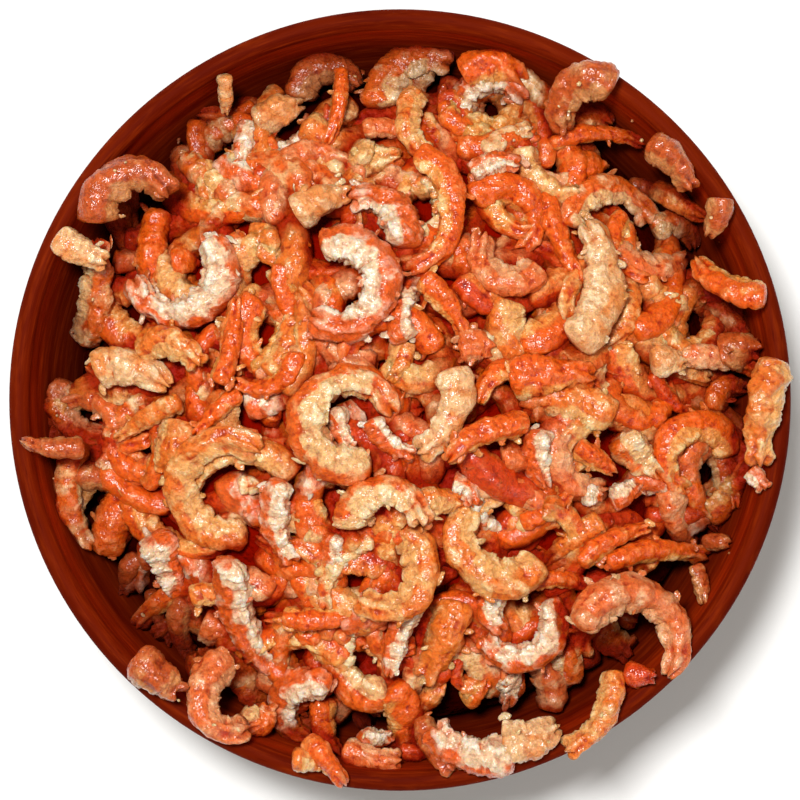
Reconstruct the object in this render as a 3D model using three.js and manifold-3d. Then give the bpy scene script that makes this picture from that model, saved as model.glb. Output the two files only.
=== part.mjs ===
// A turned wooden bowl heaped with peeled, dried shrimp. Millimetres, +Z up, with the origin at
// the middle of the flat foot. The shrimp lie as they fell, most of them curled on their sides,
// over a mound that stands above the rim in the middle and below it along the wall.
import * as THREE from "three";
import { mergeVertices } from "three/addons/utils/BufferGeometryUtils.js";
import Module from "manifold-3d";

// Bowl
const RIM_RADIUS = 78.5;
const BOWL_HEIGHT = 50;
const LIP_WIDTH = 4;
const FLOOR_THICKNESS = 6;
const FOOT_RADIUS = 32;
const FOOT_HEIGHT = 4;
const FOOT_BEVEL = 0.6;
const TURNS = 48; // sides of the turned surfaces
const WALL_STEPS = 8;
const LIP_STEPS = 5;

// Heap
const CREST_HEIGHT = 59; // the mound's top, above the table
const EDGE_HEIGHT = 40; // where the mound meets the wall
const EDGE_RADIUS = 72;
const FULLNESS = 2; // over 1, the mound is a dome and not a cone
const CORE_DEPTH = 5.5; // the plain core lies this far under the mound's surface
const CORE_RADIUS = 64; // short of the wall, so that the outer shrimp hide its edge
const DOME_STEPS = 6;
const CLEARANCE = 0.3; // between the heap and the wood
const WALL_MARGIN = 0.6; // kept between any shrimp and the wood

// Shrimp
const BODY_LENGTH = 39; // along the body's middle, head cut to tail tip
const BODY_WIDTH = 9.6; // back to belly, at the thickest segment
const BODY_THICKNESS = 8; // side to side
const SIZES = [0.86, 1.1]; // the smallest and the largest, as shares of the sizes above
const STRAIGHT_SHARE = 0.22; // how many of the shrimp have hardly curled
const STRAIGHT_CURL = [35, 90]; // degrees from head cut to tail
const ROUND_CURL = [150, 275];
const MOST_TIP = 0.28; // radians that a shrimp leans either way from the mound's slope
// Half-width along the body, as shares of length and width: blunt at the head cut, widest
// in the first segments, then thinning to the tail's stub.
const BODY_PROFILE = [
  [0, 0],
  [0.03, 0.82],
  [0.24, 1],
  [0.5, 0.88],
  [0.8, 0.42],
  [0.94, 0.42],
  [1, 0],
];
// From the bottom up: a ring along the wall, and the top of the pile.
const LAYERS = [
  { count: 15, depth: 6, inner: 64, outer: 69, sides: 5 },
  { count: 52, depth: 3.2, inner: 0, outer: 67, sides: 6 },
];
const TRIES = 14; // ways to lie that each shrimp is given before the best is kept
const INWARD_STEP = 0.5; // how far a shrimp is drawn in off the wall at a time
const DEPTH_SPREAD = 0.8; // how far a shrimp lies above or below its layer
const TURN_SPREAD = 0.1; // radians that it lies to either side of its even place
const GOLDEN_ANGLE = Math.PI * (3 - Math.sqrt(5));
const SEED = 7;

const wasm = await Module();
wasm.setup();

// Seeded draws, evenly spread from low to high.
function drawsFrom(seed) {
  let state = seed >>> 0;
  return (low, high) => {
    state = (Math.imul(state, 1664525) + 1013904223) >>> 0;
    return low + ((high - low) * state) / 2 ** 32;
  };
}

// A closed mesh as a solid, its shared corners merged and its collapsed faces dropped.
function solidOf(geometry) {
  const bare = new THREE.BufferGeometry()
    .setAttribute("position", geometry.getAttribute("position"))
    .setIndex(geometry.index);
  const merged = mergeVertices(bare, 1e-4);
  const corners = merged.index.array;
  const kept = [];
  for (let i = 0; i < corners.length; i += 3) {
    const [a, b, c] = corners.slice(i, i + 3);
    if (a !== b && b !== c && c !== a) kept.push(a, b, c);
  }
  const mesh = new wasm.Mesh({
    numProp: 3,
    vertProperties: merged.getAttribute("position").array,
    triVerts: new Uint32Array(kept),
  });
  return new wasm.Manifold(mesh);
}

function geometryOf(solid) {
  const mesh = solid.getMesh();
  return new THREE.BufferGeometry()
    .setAttribute("position", new THREE.BufferAttribute(mesh.vertProperties, 3))
    .setIndex(new THREE.BufferAttribute(mesh.triVerts, 1));
}

// A profile of (radius, height) points turned about the vertical axis.
function turned(profile) {
  return new THREE.LatheGeometry(profile, TURNS).rotateX(Math.PI / 2);
}

// Both walls are quarter ellipses about the axis, level with the lip at the rim: the hollow
// runs down to the floor, and the outside to the top of the foot.
const lipHeight = BOWL_HEIGHT - LIP_WIDTH / 2;
const hollow = { radius: RIM_RADIUS - LIP_WIDTH, depth: lipHeight - FLOOR_THICKNESS };
const outside = {
  radius: RIM_RADIUS,
  depth: (lipHeight - FOOT_HEIGHT) / Math.sqrt(1 - (FOOT_RADIUS / RIM_RADIUS) ** 2),
};

// Height of a wall at a distance from the axis, and the other way round.
function wallHeight(wall, radius) {
  return lipHeight - wall.depth * Math.sqrt(1 - (radius / wall.radius) ** 2);
}

function wallRadius(wall, height) {
  const share = Math.min(1, Math.max(0, (lipHeight - height) / wall.depth));
  return wall.radius * Math.sqrt(1 - share ** 2);
}

// Points up a wall, evenly turned, from one distance from the axis to another.
function wallPoints(wall, fromRadius, toRadius, steps) {
  const start = Math.asin(fromRadius / wall.radius);
  const end = Math.asin(toRadius / wall.radius);
  return Array.from({ length: steps + 1 }, (_, i) => {
    const turn = start + ((end - start) * i) / steps;
    return new THREE.Vector2(
      wall.radius * Math.sin(turn),
      lipHeight - wall.depth * Math.cos(turn),
    );
  });
}

// The bowl's section: up the foot and the outside, over the round lip, down the hollow.
function bowlGeometry() {
  const lip = new THREE.Path()
    .absarc(RIM_RADIUS - LIP_WIDTH / 2, lipHeight, LIP_WIDTH / 2, 0, Math.PI, false)
    .getPoints(LIP_STEPS);
  return turned([
    new THREE.Vector2(0, 0),
    new THREE.Vector2(FOOT_RADIUS - FOOT_BEVEL, 0),
    new THREE.Vector2(FOOT_RADIUS, FOOT_BEVEL),
    ...wallPoints(outside, FOOT_RADIUS, RIM_RADIUS, WALL_STEPS).slice(0, -1),
    ...lip,
    ...wallPoints(hollow, 0, hollow.radius, WALL_STEPS).reverse().slice(1),
  ]);
}

// Height of the mound's surface at a distance from the axis: a dome that falls from the crest
// to the wall, ever more steeply.
function moundHeight(radius) {
  const share = Math.min(1, radius / EDGE_RADIUS) ** FULLNESS;
  return CREST_HEIGHT - (CREST_HEIGHT - EDGE_HEIGHT) * share;
}

// The heap under its outer layers: the hollow's form below, the mound's, sunk a little, above.
function coreGeometry() {
  const seat = { radius: hollow.radius - CLEARANCE, depth: hollow.depth - CLEARANCE };
  const over = Array.from({ length: DOME_STEPS + 1 }, (_, i) => {
    const radius = CORE_RADIUS * (1 - i / DOME_STEPS);
    return new THREE.Vector2(radius, moundHeight(radius) - CORE_DEPTH);
  });
  return turned([...wallPoints(seat, 0, CORE_RADIUS, WALL_STEPS - 2), ...over]);
}

// One shrimp, lying on its side and bent by its curl angle, its middle at the origin.
function shrimpGeometry({ curl, size, sides }) {
  const length = BODY_LENGTH * size;
  const halfWidth = (BODY_WIDTH * size) / 2;
  const profile = BODY_PROFILE.map(
    ([along, width]) => new THREE.Vector2(width * halfWidth, along * length),
  );
  const body = new THREE.LatheGeometry(profile, sides, Math.PI / 2);
  const place = body.getAttribute("position");
  const bend = length / curl;
  for (let i = 0; i < place.count; i++) {
    const angle = (place.getY(i) / length - 0.5) * curl;
    const reach = bend + place.getX(i);
    const side = (place.getZ(i) * BODY_THICKNESS) / BODY_WIDTH;
    place.setXYZ(i, reach * Math.cos(angle), reach * Math.sin(angle), side);
  }
  // The bent body's middle is on the arc, so its own centre moves to the origin.
  const sagitta = (bend * Math.sin(curl / 2)) / (curl / 2);
  return body.translate(-sagitta, 0, 0);
}

// How far the worst corner of a placed shrimp comes past the room that the hollow leaves it.
function excessOf(geometry) {
  const place = geometry.getAttribute("position");
  let worst = -Infinity;
  for (let i = 0; i < place.count; i++) {
    const radius = Math.hypot(place.getX(i), place.getY(i));
    const room = wallRadius(hollow, place.getZ(i)) - WALL_MARGIN;
    worst = Math.max(worst, radius - room);
  }
  return worst;
}

// A shrimp laid on the mound at a distance from the axis, drawn in until it clears the wood.
function drawnIn(shape, around, radius, depth) {
  for (let inward = radius; inward > 0; inward -= INWARD_STEP) {
    const placed = shape
      .clone()
      .translate(
        inward * Math.cos(around),
        inward * Math.sin(around),
        moundHeight(inward) - depth,
      );
    if (excessOf(placed) <= 0) return { placed, inward };
  }
  return { placed: null, inward: 0 };
}

// Lays a shrimp on the mound: turned any way and tipped by the slope. Of several ways to lie,
// the one that the wall pushes in the least is kept, so the heap reaches the wall all round.
function laidShrimp(around, radius, depth, sides, draw) {
  const curls = draw(0, 1) < STRAIGHT_SHARE ? STRAIGHT_CURL : ROUND_CURL;
  const curl = THREE.MathUtils.degToRad(draw(...curls));
  const shape = shrimpGeometry({ curl, size: draw(...SIZES), sides });
  const [above, below] = [radius - BODY_WIDTH / 2, radius + BODY_WIDTH / 2];
  const slope = Math.atan2(moundHeight(above) - moundHeight(below), below - above);
  const ways = Array.from({ length: TRIES }, () => {
    const posed = shape
      .clone()
      .rotateZ(draw(0, 2 * Math.PI))
      .rotateX(draw(-MOST_TIP, MOST_TIP))
      .rotateY(draw(-MOST_TIP, MOST_TIP) + slope)
      .rotateZ(around);
    return drawnIn(posed, around, radius, depth);
  });
  return ways.sort((a, b) => b.inward - a.inward)[0].placed;
}

// All layers of shrimp, each spread evenly by the golden angle, from its inside outwards.
function layeredShrimp() {
  const draw = drawsFrom(SEED);
  return LAYERS.flatMap(({ count, depth, inner, outer, sides }, layer) =>
    Array.from({ length: count }, (_, i) => {
      const share = (i + 0.5) / count;
      const radius = Math.sqrt(inner ** 2 + (outer ** 2 - inner ** 2) * share);
      const around = (i + layer / 2) * GOLDEN_ANGLE + draw(-TURN_SPREAD, TURN_SPREAD);
      const sunk = depth + draw(-DEPTH_SPREAD, DEPTH_SPREAD);
      return laidShrimp(around, radius, sunk, sides, draw);
    }),
  ).filter(Boolean);
}

// The core and its shrimp as one solid: hollows sealed in by the joining are filled, and
// scraps that touch nothing are dropped, because only the largest outer shell is kept.
function heapGeometry() {
  const joined = wasm.Manifold.union([
    solidOf(coreGeometry()),
    ...layeredShrimp().map(solidOf),
  ]);
  const shells = joined.decompose().sort((a, b) => b.volume() - a.volume());
  return geometryOf(shells[0]);
}

const darkWood = new THREE.MeshStandardMaterial({
  color: 0x6b220c,
  roughness: 0.5,
  metalness: 0,
});
const driedShrimp = new THREE.MeshStandardMaterial({
  color: 0xe58a4e,
  roughness: 0.55,
  metalness: 0,
});

const bowl = new THREE.Mesh(bowlGeometry(), darkWood);
bowl.name = "bowl";
const heap = new THREE.Mesh(heapGeometry(), driedShrimp);
heap.name = "shrimp_heap";

const bowlOfShrimp = new THREE.Group();
bowlOfShrimp.add(bowl, heap);

export default bowlOfShrimp;
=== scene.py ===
# %% [markdown]
# # A wooden bowl heaped with small dried shrimp
# The real object is a turned bowl about 157 mm across, filled above its rim with small shrimp
# that were peeled and dried. As they dried they curled, and their flesh shrank into ridges.
# This lesson lays a few hundred of them from a given list and by rule. Every one is a surface
# worked out with numpy, so that light catches real wrinkles and not painted ones.

import math

import bpy
import numpy as np
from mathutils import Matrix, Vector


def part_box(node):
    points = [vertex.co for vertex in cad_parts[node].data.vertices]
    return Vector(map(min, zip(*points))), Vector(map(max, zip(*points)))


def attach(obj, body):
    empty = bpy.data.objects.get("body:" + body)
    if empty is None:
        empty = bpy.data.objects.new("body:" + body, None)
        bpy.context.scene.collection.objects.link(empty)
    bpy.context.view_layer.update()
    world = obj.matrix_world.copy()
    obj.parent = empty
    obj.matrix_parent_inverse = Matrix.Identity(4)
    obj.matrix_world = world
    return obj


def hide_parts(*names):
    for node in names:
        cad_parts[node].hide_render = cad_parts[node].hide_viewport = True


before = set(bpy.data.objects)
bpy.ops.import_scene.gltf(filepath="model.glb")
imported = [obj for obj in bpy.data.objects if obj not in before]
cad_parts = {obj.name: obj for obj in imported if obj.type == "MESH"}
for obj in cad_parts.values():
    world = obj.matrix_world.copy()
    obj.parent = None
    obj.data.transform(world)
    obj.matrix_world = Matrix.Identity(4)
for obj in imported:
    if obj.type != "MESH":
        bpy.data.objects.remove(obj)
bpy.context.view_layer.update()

# %% [markdown]
# ## Sizes
# All lengths in the making are in millimetres, because shrimp are easier to think of that way,
# and each mesh is brought to metres once, when it is built. The bowl's sizes come from its own
# solid, so the lip, the foot and the height always agree with the frame.

# %% Sizes that the frame gives
MM = 0.001
bowl_low, bowl_high = (np.array(corner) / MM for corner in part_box("bowl"))
RIM_RADIUS = (bowl_high[0] - bowl_low[0]) / 2
BOWL_HEIGHT = bowl_high[2] - bowl_low[2]
HEAP_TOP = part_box("shrimp_heap")[1][2] / MM
print(f"rim radius {RIM_RADIUS:.1f}, bowl height {BOWL_HEIGHT:.1f}, heap top {HEAP_TOP:.1f}")

# %% Sizes of the turning
LIP_WIDTH = 4.0
FLOOR_THICKNESS = 6.0
FOOT_RADIUS = 32.0
FOOT_HEIGHT = 4.0
FOOT_BEVEL = 0.6
LIP_HEIGHT = BOWL_HEIGHT - LIP_WIDTH / 2
HOLLOW_RADIUS = RIM_RADIUS - LIP_WIDTH
HOLLOW_DEPTH = LIP_HEIGHT - FLOOR_THICKNESS
OUTSIDE_DEPTH = (LIP_HEIGHT - FOOT_HEIGHT) / math.sqrt(1 - (FOOT_RADIUS / RIM_RADIUS) ** 2)

# %% [markdown]
# ## The camera
# The photo looks straight down the bowl's axis, with the rim just inside the frame. A long lens
# high above does the same. The camera comes first because the shrimp are placed through it: what
# stands higher than the rim is nearer to the lens and looks larger.

# %% Camera
VIEW_WIDTH = 160.0  # width of the rim's plane that the picture takes in
LENS = 100.0
SENSOR = 36.0
EYE_HEIGHT = VIEW_WIDTH * LENS / SENSOR  # above the rim

camera = bpy.data.objects.new("camera", bpy.data.cameras.new("camera"))
bpy.context.scene.collection.objects.link(camera)
camera.data.lens = LENS
camera.data.sensor_width = SENSOR
camera.data.clip_start = 0.01
camera.data.clip_end = 5.0
camera.location = (0, 0, (BOWL_HEIGHT + EYE_HEIGHT) * MM)
bpy.context.scene.camera = camera
print(f"the camera stands {EYE_HEIGHT:.0f} mm over the rim")

# %% [markdown]
# ## Small helpers
# Colours are chosen as the eye names them, on the 0 to 255 scale of a picture, while Blender
# mixes light in linear values. One line converts them.

# %% Colour
def paint(red, green, blue):
    """A picture's colour as linear light: each channel over 255, raised to the power 2.2."""
    return (*((np.array([red, green, blue]) / 255) ** 2.2), 1.0)

# %% [markdown]
# Each surface is a grid of rings. The first and the last ring shrink to a point, so the tube is
# closed without a seam. The same faces serve every shrimp and crumb.

# %% Faces of a closed tube
def tube_faces(rings, around):
    """Corner numbers for rings 1 to rings - 2 of a grid, with a pole before and a pole after:
    quads between neighbouring rings, and a fan of triangles at each pole."""
    inner = rings - 2
    row = 1 + np.arange(inner - 1)[:, None] * around
    here = np.arange(around)[None, :]
    beside = (here + 1) % around
    quads = np.stack([row + here, row + beside, row + around + beside, row + around + here], -1)
    last_row = 1 + (inner - 1) * around
    end = 1 + inner * around
    first_fan = np.stack([0 * here, 1 + beside, 1 + here], -1)
    last_fan = np.stack([end + 0 * here, last_row + here, last_row + beside], -1)
    return quads.reshape(-1, 4), np.concatenate([first_fan, last_fan]).reshape(-1, 3)


def tube_points(grid):
    """A grid of rings as a list of points: the first ring's mean, the rings between, and the
    last ring's mean."""
    return np.concatenate([grid[:1].mean(1), grid[1:-1].reshape(-1, 3), grid[-1:].mean(1)])


def tube_values(grid):
    """One number for each point of tube_points, from a grid of numbers."""
    return np.concatenate([[grid[0].mean()], grid[1:-1].ravel(), [grid[-1].mean()]])

# %% Mesh from arrays
def piece_from(name, points, quads, fans, values=None):
    """An object whose mesh has these points, in millimetres, and faces, with one float
    attribute for each entry of values."""
    mesh = bpy.data.meshes.new(name)
    corners = np.concatenate([quads.ravel(), fans.ravel()]).astype(np.int32)
    sizes = np.concatenate([np.full(len(quads), 4), np.full(len(fans), 3)])
    starts = np.concatenate([[0], np.cumsum(sizes)[:-1]]).astype(np.int32)
    mesh.vertices.add(len(points))
    mesh.vertices.foreach_set("co", (points * MM).astype(np.float32).ravel())
    mesh.loops.add(len(corners))
    mesh.loops.foreach_set("vertex_index", corners)
    mesh.polygons.add(len(sizes))
    mesh.polygons.foreach_set("loop_start", starts)
    for key, numbers in (values or {}).items():
        held = mesh.attributes.new(key, "FLOAT", "POINT")
        held.data.foreach_set("value", numbers.astype(np.float32))
    mesh.update(calc_edges=True)
    mesh.validate()
    mesh.shade_smooth()
    made = bpy.data.objects.new(name, mesh)
    bpy.context.scene.collection.objects.link(made)
    print(f"{name}: {2 * len(quads) + len(fans)} triangles")
    return made

# %% [markdown]
# Dried flesh is never smooth. A bumpy field made of a few waves that run in drawn directions is
# quick to work out for thousands of points at once, and it has no seam. Every draw comes from a
# seeded generator, so the heap is the same each time.

# %% Bumpy fields
SEED = 11
WAVES = 9


def bumps(points, wavelength, draw):
    """A smooth field of about -1 to 1 at some points: the sum of plane waves that run in drawn
    directions, each about one wavelength long."""
    way = draw.normal(size=(WAVES, 3))
    way /= np.linalg.norm(way, axis=1, keepdims=True)
    pitch = 2 * math.pi / (wavelength * draw.uniform(0.7, 1.4, WAVES))
    start = draw.uniform(0, 2 * math.pi, WAVES)
    return np.sin(points @ (way * pitch[:, None]).T + start).sum(-1) * (1.4 / WAVES)


def smooth_step(low, high, value):
    """0 below low, 1 above high, and a soft S-shaped rise between them."""
    share = np.clip((value - low) / (high - low), 0, 1)
    return share * share * (3 - 2 * share)

# %% [markdown]
# ## The bowl
# A bowl is turned on a lathe, so it is one profile carried round an axis. The solid in the frame
# has flat facets. This copy follows the same quarter ellipses with many more steps, and adds
# what a gouge leaves: a few faint rings that only show where light grazes the wall.

# %% The bowl's profile
WALL_STEPS = 60
LIP_STEPS = 14
GOUGE_DEPTH = 0.035
GOUGE_RINGS = 2.4  # radians of the rings' wave for each millimetre of height


def wall_height(radius, wall_radius, depth):
    """Height of a wall at a distance from the axis: a quarter ellipse, level at its foot and
    upright at the lip."""
    share = np.clip(np.asarray(radius) / wall_radius, 0, 1)
    return LIP_HEIGHT - depth * np.sqrt(1 - share * share)


def wall_profile(start_radius, wall_radius, depth, steps):
    """Points up a wall, evenly turned: radius by the sine of the turn and height by its
    cosine."""
    turn = np.linspace(math.asin(start_radius / wall_radius), math.pi / 2, steps)
    return np.stack([wall_radius * np.sin(turn), LIP_HEIGHT - depth * np.cos(turn)], -1)


lip_turn = np.linspace(0, math.pi, LIP_STEPS)[1:-1]
lip_profile = np.stack(
    [
        RIM_RADIUS - LIP_WIDTH / 2 * (1 - np.cos(lip_turn)),
        LIP_HEIGHT + LIP_WIDTH / 2 * np.sin(lip_turn),
    ],
    -1,
)
hollow_profile = wall_profile(0, HOLLOW_RADIUS, HOLLOW_DEPTH, WALL_STEPS)[::-1]
gouge_wave = (1 - np.cos(hollow_profile[1:-1, 1] * GOUGE_RINGS)) / 2
hollow_profile[1:-1, 0] -= GOUGE_DEPTH * gouge_wave
foot_profile = np.array(
    [[0, 0], [FOOT_RADIUS * 0.5, 0], [FOOT_RADIUS - FOOT_BEVEL, 0], [FOOT_RADIUS, FOOT_BEVEL]]
)
outside_profile = wall_profile(FOOT_RADIUS, RIM_RADIUS, OUTSIDE_DEPTH, WALL_STEPS)
bowl_profile = np.concatenate([foot_profile, outside_profile, lip_profile, hollow_profile])
print(f"the bowl's profile has {len(bowl_profile)} points")

# %% Carry it round
BOWL_TURNS = 180


def turned(profile, turns):
    """Rings of a turning: each profile point's radius times the cosine and sine of the turn."""
    turn = np.linspace(0, 2 * math.pi, turns, endpoint=False)
    radius = profile[:, :1]
    height = np.repeat(profile[:, 1:], turns, 1)
    return np.stack([radius * np.cos(turn), radius * np.sin(turn), height], -1)


bowl_faces = tube_faces(len(bowl_profile), BOWL_TURNS)
bowl = piece_from("turned_bowl", tube_points(turned(bowl_profile, BOWL_TURNS)), *bowl_faces)
bowl.data.flip_normals()
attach(bowl, "root")
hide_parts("bowl")

# %% [markdown]
# ## The core of the heap
# Only the outer shrimp show. Under them a plain mound fills the hollow, deep enough that it is
# seen only at the bottom of the gaps. Its colour is painted shade: a dark red, which turns near
# black beside the wall.
# The heap's own surface is a dome, and all depths in the heap are told from it.

# %% Core
MOUND_CREST = 59.5
MOUND_EDGE = 41.0
MOUND_RADIUS = 72.0
CORE_DEPTH = 10.0
CORE_RADIUS = 66.0
CORE_STEPS = 30
CORE_TURNS = 100
CORE_RELIEF = 0.9
CORE_SHADED_FROM = (45, 62)  # distance from the axis where the painted shade begins and is full
WOOD_GAP = 0.4


def mound_height(radius):
    """The heap's dome: its crest less a share that grows with the square of the radius."""
    share = np.clip(np.asarray(radius) / MOUND_RADIUS, 0, 1.1)
    return MOUND_CREST - (MOUND_CREST - MOUND_EDGE) * share * share


core_out = np.linspace(0, CORE_RADIUS, CORE_STEPS)
core_under = wall_height(core_out, HOLLOW_RADIUS, HOLLOW_DEPTH) + WOOD_GAP
core_over = np.maximum(mound_height(core_out) - CORE_DEPTH, core_under + WOOD_GAP)
core_profile = np.concatenate(
    [np.stack([core_out, core_under], -1), np.stack([core_out, core_over], -1)[::-1]]
)
core_grid = turned(core_profile, CORE_TURNS)
core_draw = np.random.default_rng(SEED)
core_lift = bumps(core_grid, 11.0, core_draw) + 0.5 * bumps(core_grid, 5.0, core_draw)
core_grid[CORE_STEPS:, :, 2] += CORE_RELIEF * core_lift[CORE_STEPS:]
core_faces = tube_faces(len(core_profile), CORE_TURNS)
core_points = tube_points(core_grid)
# Painted shade: the core turns darker towards the wall by this mask.
core_shade = smooth_step(*CORE_SHADED_FROM, np.hypot(core_points[:, 0], core_points[:, 1]))
core = piece_from("heap_core", core_points, *core_faces, {"shade": core_shade})
core.data.flip_normals()
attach(core, "root")
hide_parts("shrimp_heap")

# %% [markdown]
# ## How a shrimp lies
# Seen from above, a curled shrimp is an arc: three points, at the head cut, the middle and the
# tail, fix the circle that it follows. Its belly is always on the inside of the curl. A roll
# about its own length then turns the back up towards the eye, or the belly.

# %% Arc through three points
LEAST_BEND = 0.04  # how far the middle is kept off the chord, as a share of it


def arc_through(first, middle, last, shares):
    """Points on the circle through three points, at shares of the way from the first to the
    last, and the unit vectors there that point away from the circle's centre."""
    a, b, c = (np.asarray(p, float) for p in (first, middle, last))
    chord = c - a
    off = (b - a)[0] * chord[1] - (b - a)[1] * chord[0]
    least = LEAST_BEND * (chord @ chord)
    if abs(off) < least:
        nudge = (least - abs(off)) / (chord @ chord) * (1 if off >= 0 else -1)
        b = b + nudge * np.array([chord[1], -chord[0]])
        off = (b - a)[0] * chord[1] - (b - a)[1] * chord[0]
    sums = np.array([p @ p for p in (a, b, c)])
    double_area = 2 * (a[0] * (b - c)[1] + b[0] * (c - a)[1] + c[0] * (a - b)[1])
    centre = np.array([
        sums @ np.array([b[1] - c[1], c[1] - a[1], a[1] - b[1]]),
        sums @ np.array([c[0] - b[0], a[0] - c[0], b[0] - a[0]]),
    ]) / double_area
    start, end = (math.atan2(*(p - centre)[::-1]) for p in (a, c))
    turning = 1 if off > 0 else -1
    sweep = turning * ((turning * (end - start)) % (2 * math.pi))
    turn = start + sweep * shares
    outward = np.stack([np.cos(turn), np.sin(turn)], -1)
    return centre + np.linalg.norm(a - centre) * outward, outward

# %% [markdown]
# ## How a shrimp is shaped
# The body is thick at the head cut and thins to the tail in up to six segments. Each segment
# bulges over the next. The belly has two rows of crinkled knobs with a furrow between them, and
# the tail's blades run lengthwise. Shrunken flesh lies in pillows with sharp valleys between
# them. All of it is a share of the body's half width, added up on one grid.

# %% Body along its length
MOST_SEGMENTS = 6
SEGMENT_LENGTH = 0.55  # of the girth
SEGMENT_DRAWN = (0.75, 1.25)  # how much shorter or longer one may be
TAIL_WIDTH = 0.46  # of the width at the head
HEAD_CAP = 0.05  # share of the length over which the head is rounded off
TAIL_CAP = 0.08


def half_width(along):
    """Half width along the body as a share of the girth's half: full at the head cut, thinning
    ever faster, with a round cap at the head and a longer one at the tail."""
    body = TAIL_WIDTH + (1 - TAIL_WIDTH) * (1 - along**2.6) ** 0.9
    shoulder = 0.84 + 0.16 * smooth_step(0, 0.16, along)
    head = np.sqrt(1 - (1 - np.clip(along / HEAD_CAP, 0, 1)) ** 2)
    tail = np.sqrt(1 - (1 - np.clip((1 - along) / TAIL_CAP, 0, 1)) ** 2)
    return body * shoulder * head * tail


def segment_borders(length, girth, draw):
    """Where the segments begin and end, as shares of the length, by drawn lengths. A piece too
    short for six has as many as fit."""
    count = int(np.clip(length / (SEGMENT_LENGTH * girth), 1, MOST_SEGMENTS))
    lengths = draw.uniform(*SEGMENT_DRAWN, count)
    return np.concatenate([[0], np.cumsum(lengths)]) / lengths.sum()


def pillows(points, wavelength, draw):
    """Flat-topped knobs with sharp valleys between them, about -0.6 to 0.4: how far a bumpy
    field is from nothing, levelled off by an exponential."""
    return 0.4 - np.exp(-np.abs(bumps(points, wavelength, draw)) / 0.2)

# %% Crumbly plates
PLATE = 2.4  # mm
CRACK = 0.35  # width of the slope beside a crack, as a share of a plate


def plates(points, size, draw):
    """Two numbers for each point. The first is how far it is from a crack, 0 to 1: cracks lie
    where the two nearest of many drawn seeds are equally far. The second is the drawn number of
    the nearest seed."""
    flat = points.reshape(-1, 3)
    low, high = flat.min(0), flat.max(0)
    count = int(np.prod(np.maximum(high - low, size) / size)) + 2
    seeds = draw.uniform(low, high, (count, 3))
    squares = (flat**2).sum(1)[:, None] + (seeds**2).sum(1) - 2 * flat @ seeds.T
    nearest = np.argpartition(squares, 1, axis=1)[:, :2]
    away = np.sqrt(np.maximum(np.take_along_axis(squares, nearest, 1), 0))
    crack = smooth_step(0, CRACK * size, away[:, 1] - away[:, 0])
    own = draw.uniform(0, 1, count)[nearest[:, 0]]
    return crack.reshape(points.shape[:-1]), own.reshape(points.shape[:-1])

# %% Directions along the spine
CROWDING = 0.45  # how much closer the points lie on the side that faces up


def body_frame(spine, back, steps):
    """Three directions at right angles for each point of a spine: ahead, towards the back, and
    to the side as their cross product. With them come the spine's length and a grid of shares
    along it and of turns around it, which crowd by the sine of the turn."""
    ahead = np.gradient(spine, axis=0)
    length = np.linalg.norm(ahead, axis=1).sum()
    ahead /= np.linalg.norm(ahead, axis=1, keepdims=True)
    back = back - (back * ahead).sum(1, keepdims=True) * ahead
    back /= np.linalg.norm(back, axis=1, keepdims=True)
    side = np.cross(ahead, back)
    up = math.atan2(side[:, 2].mean(), back[:, 2].mean())
    along = np.linspace(0, 1, steps[0])
    around = np.linspace(-math.pi, math.pi, steps[1], endpoint=False)
    u, v = np.meshgrid(along, up + around - CROWDING * np.sin(around), indexing="ij")
    return ahead, back, side, length, u, v

# %% [markdown]
# The relief is a sum of simple things, each with its own height as a share of the half width.
# Where back and belly differ, a pair of numbers gives the height on the back and what the belly
# adds to it. The tail is firm skin, so its knobs and pillows are lower.

# %% Relief of the skin
SEGMENTS = (0.06, 0.04)
OVERHANG = 0.06  # of a segment over the next
KNOBS = 0.11
FURROW = 0.08
VEIN = 0.04
SEAM = 0.06  # along the border of back and belly
PLATES = (0.06, 0.08)
PILLOWS = (0.1, 0.02)
FOLDS = 0.13
GRAIN = (0.04, 0.02)
BLADES = 0.13
TAIL_FROM = (0.7, 0.84)  # share of the length where the tail's skin begins and is full


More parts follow.
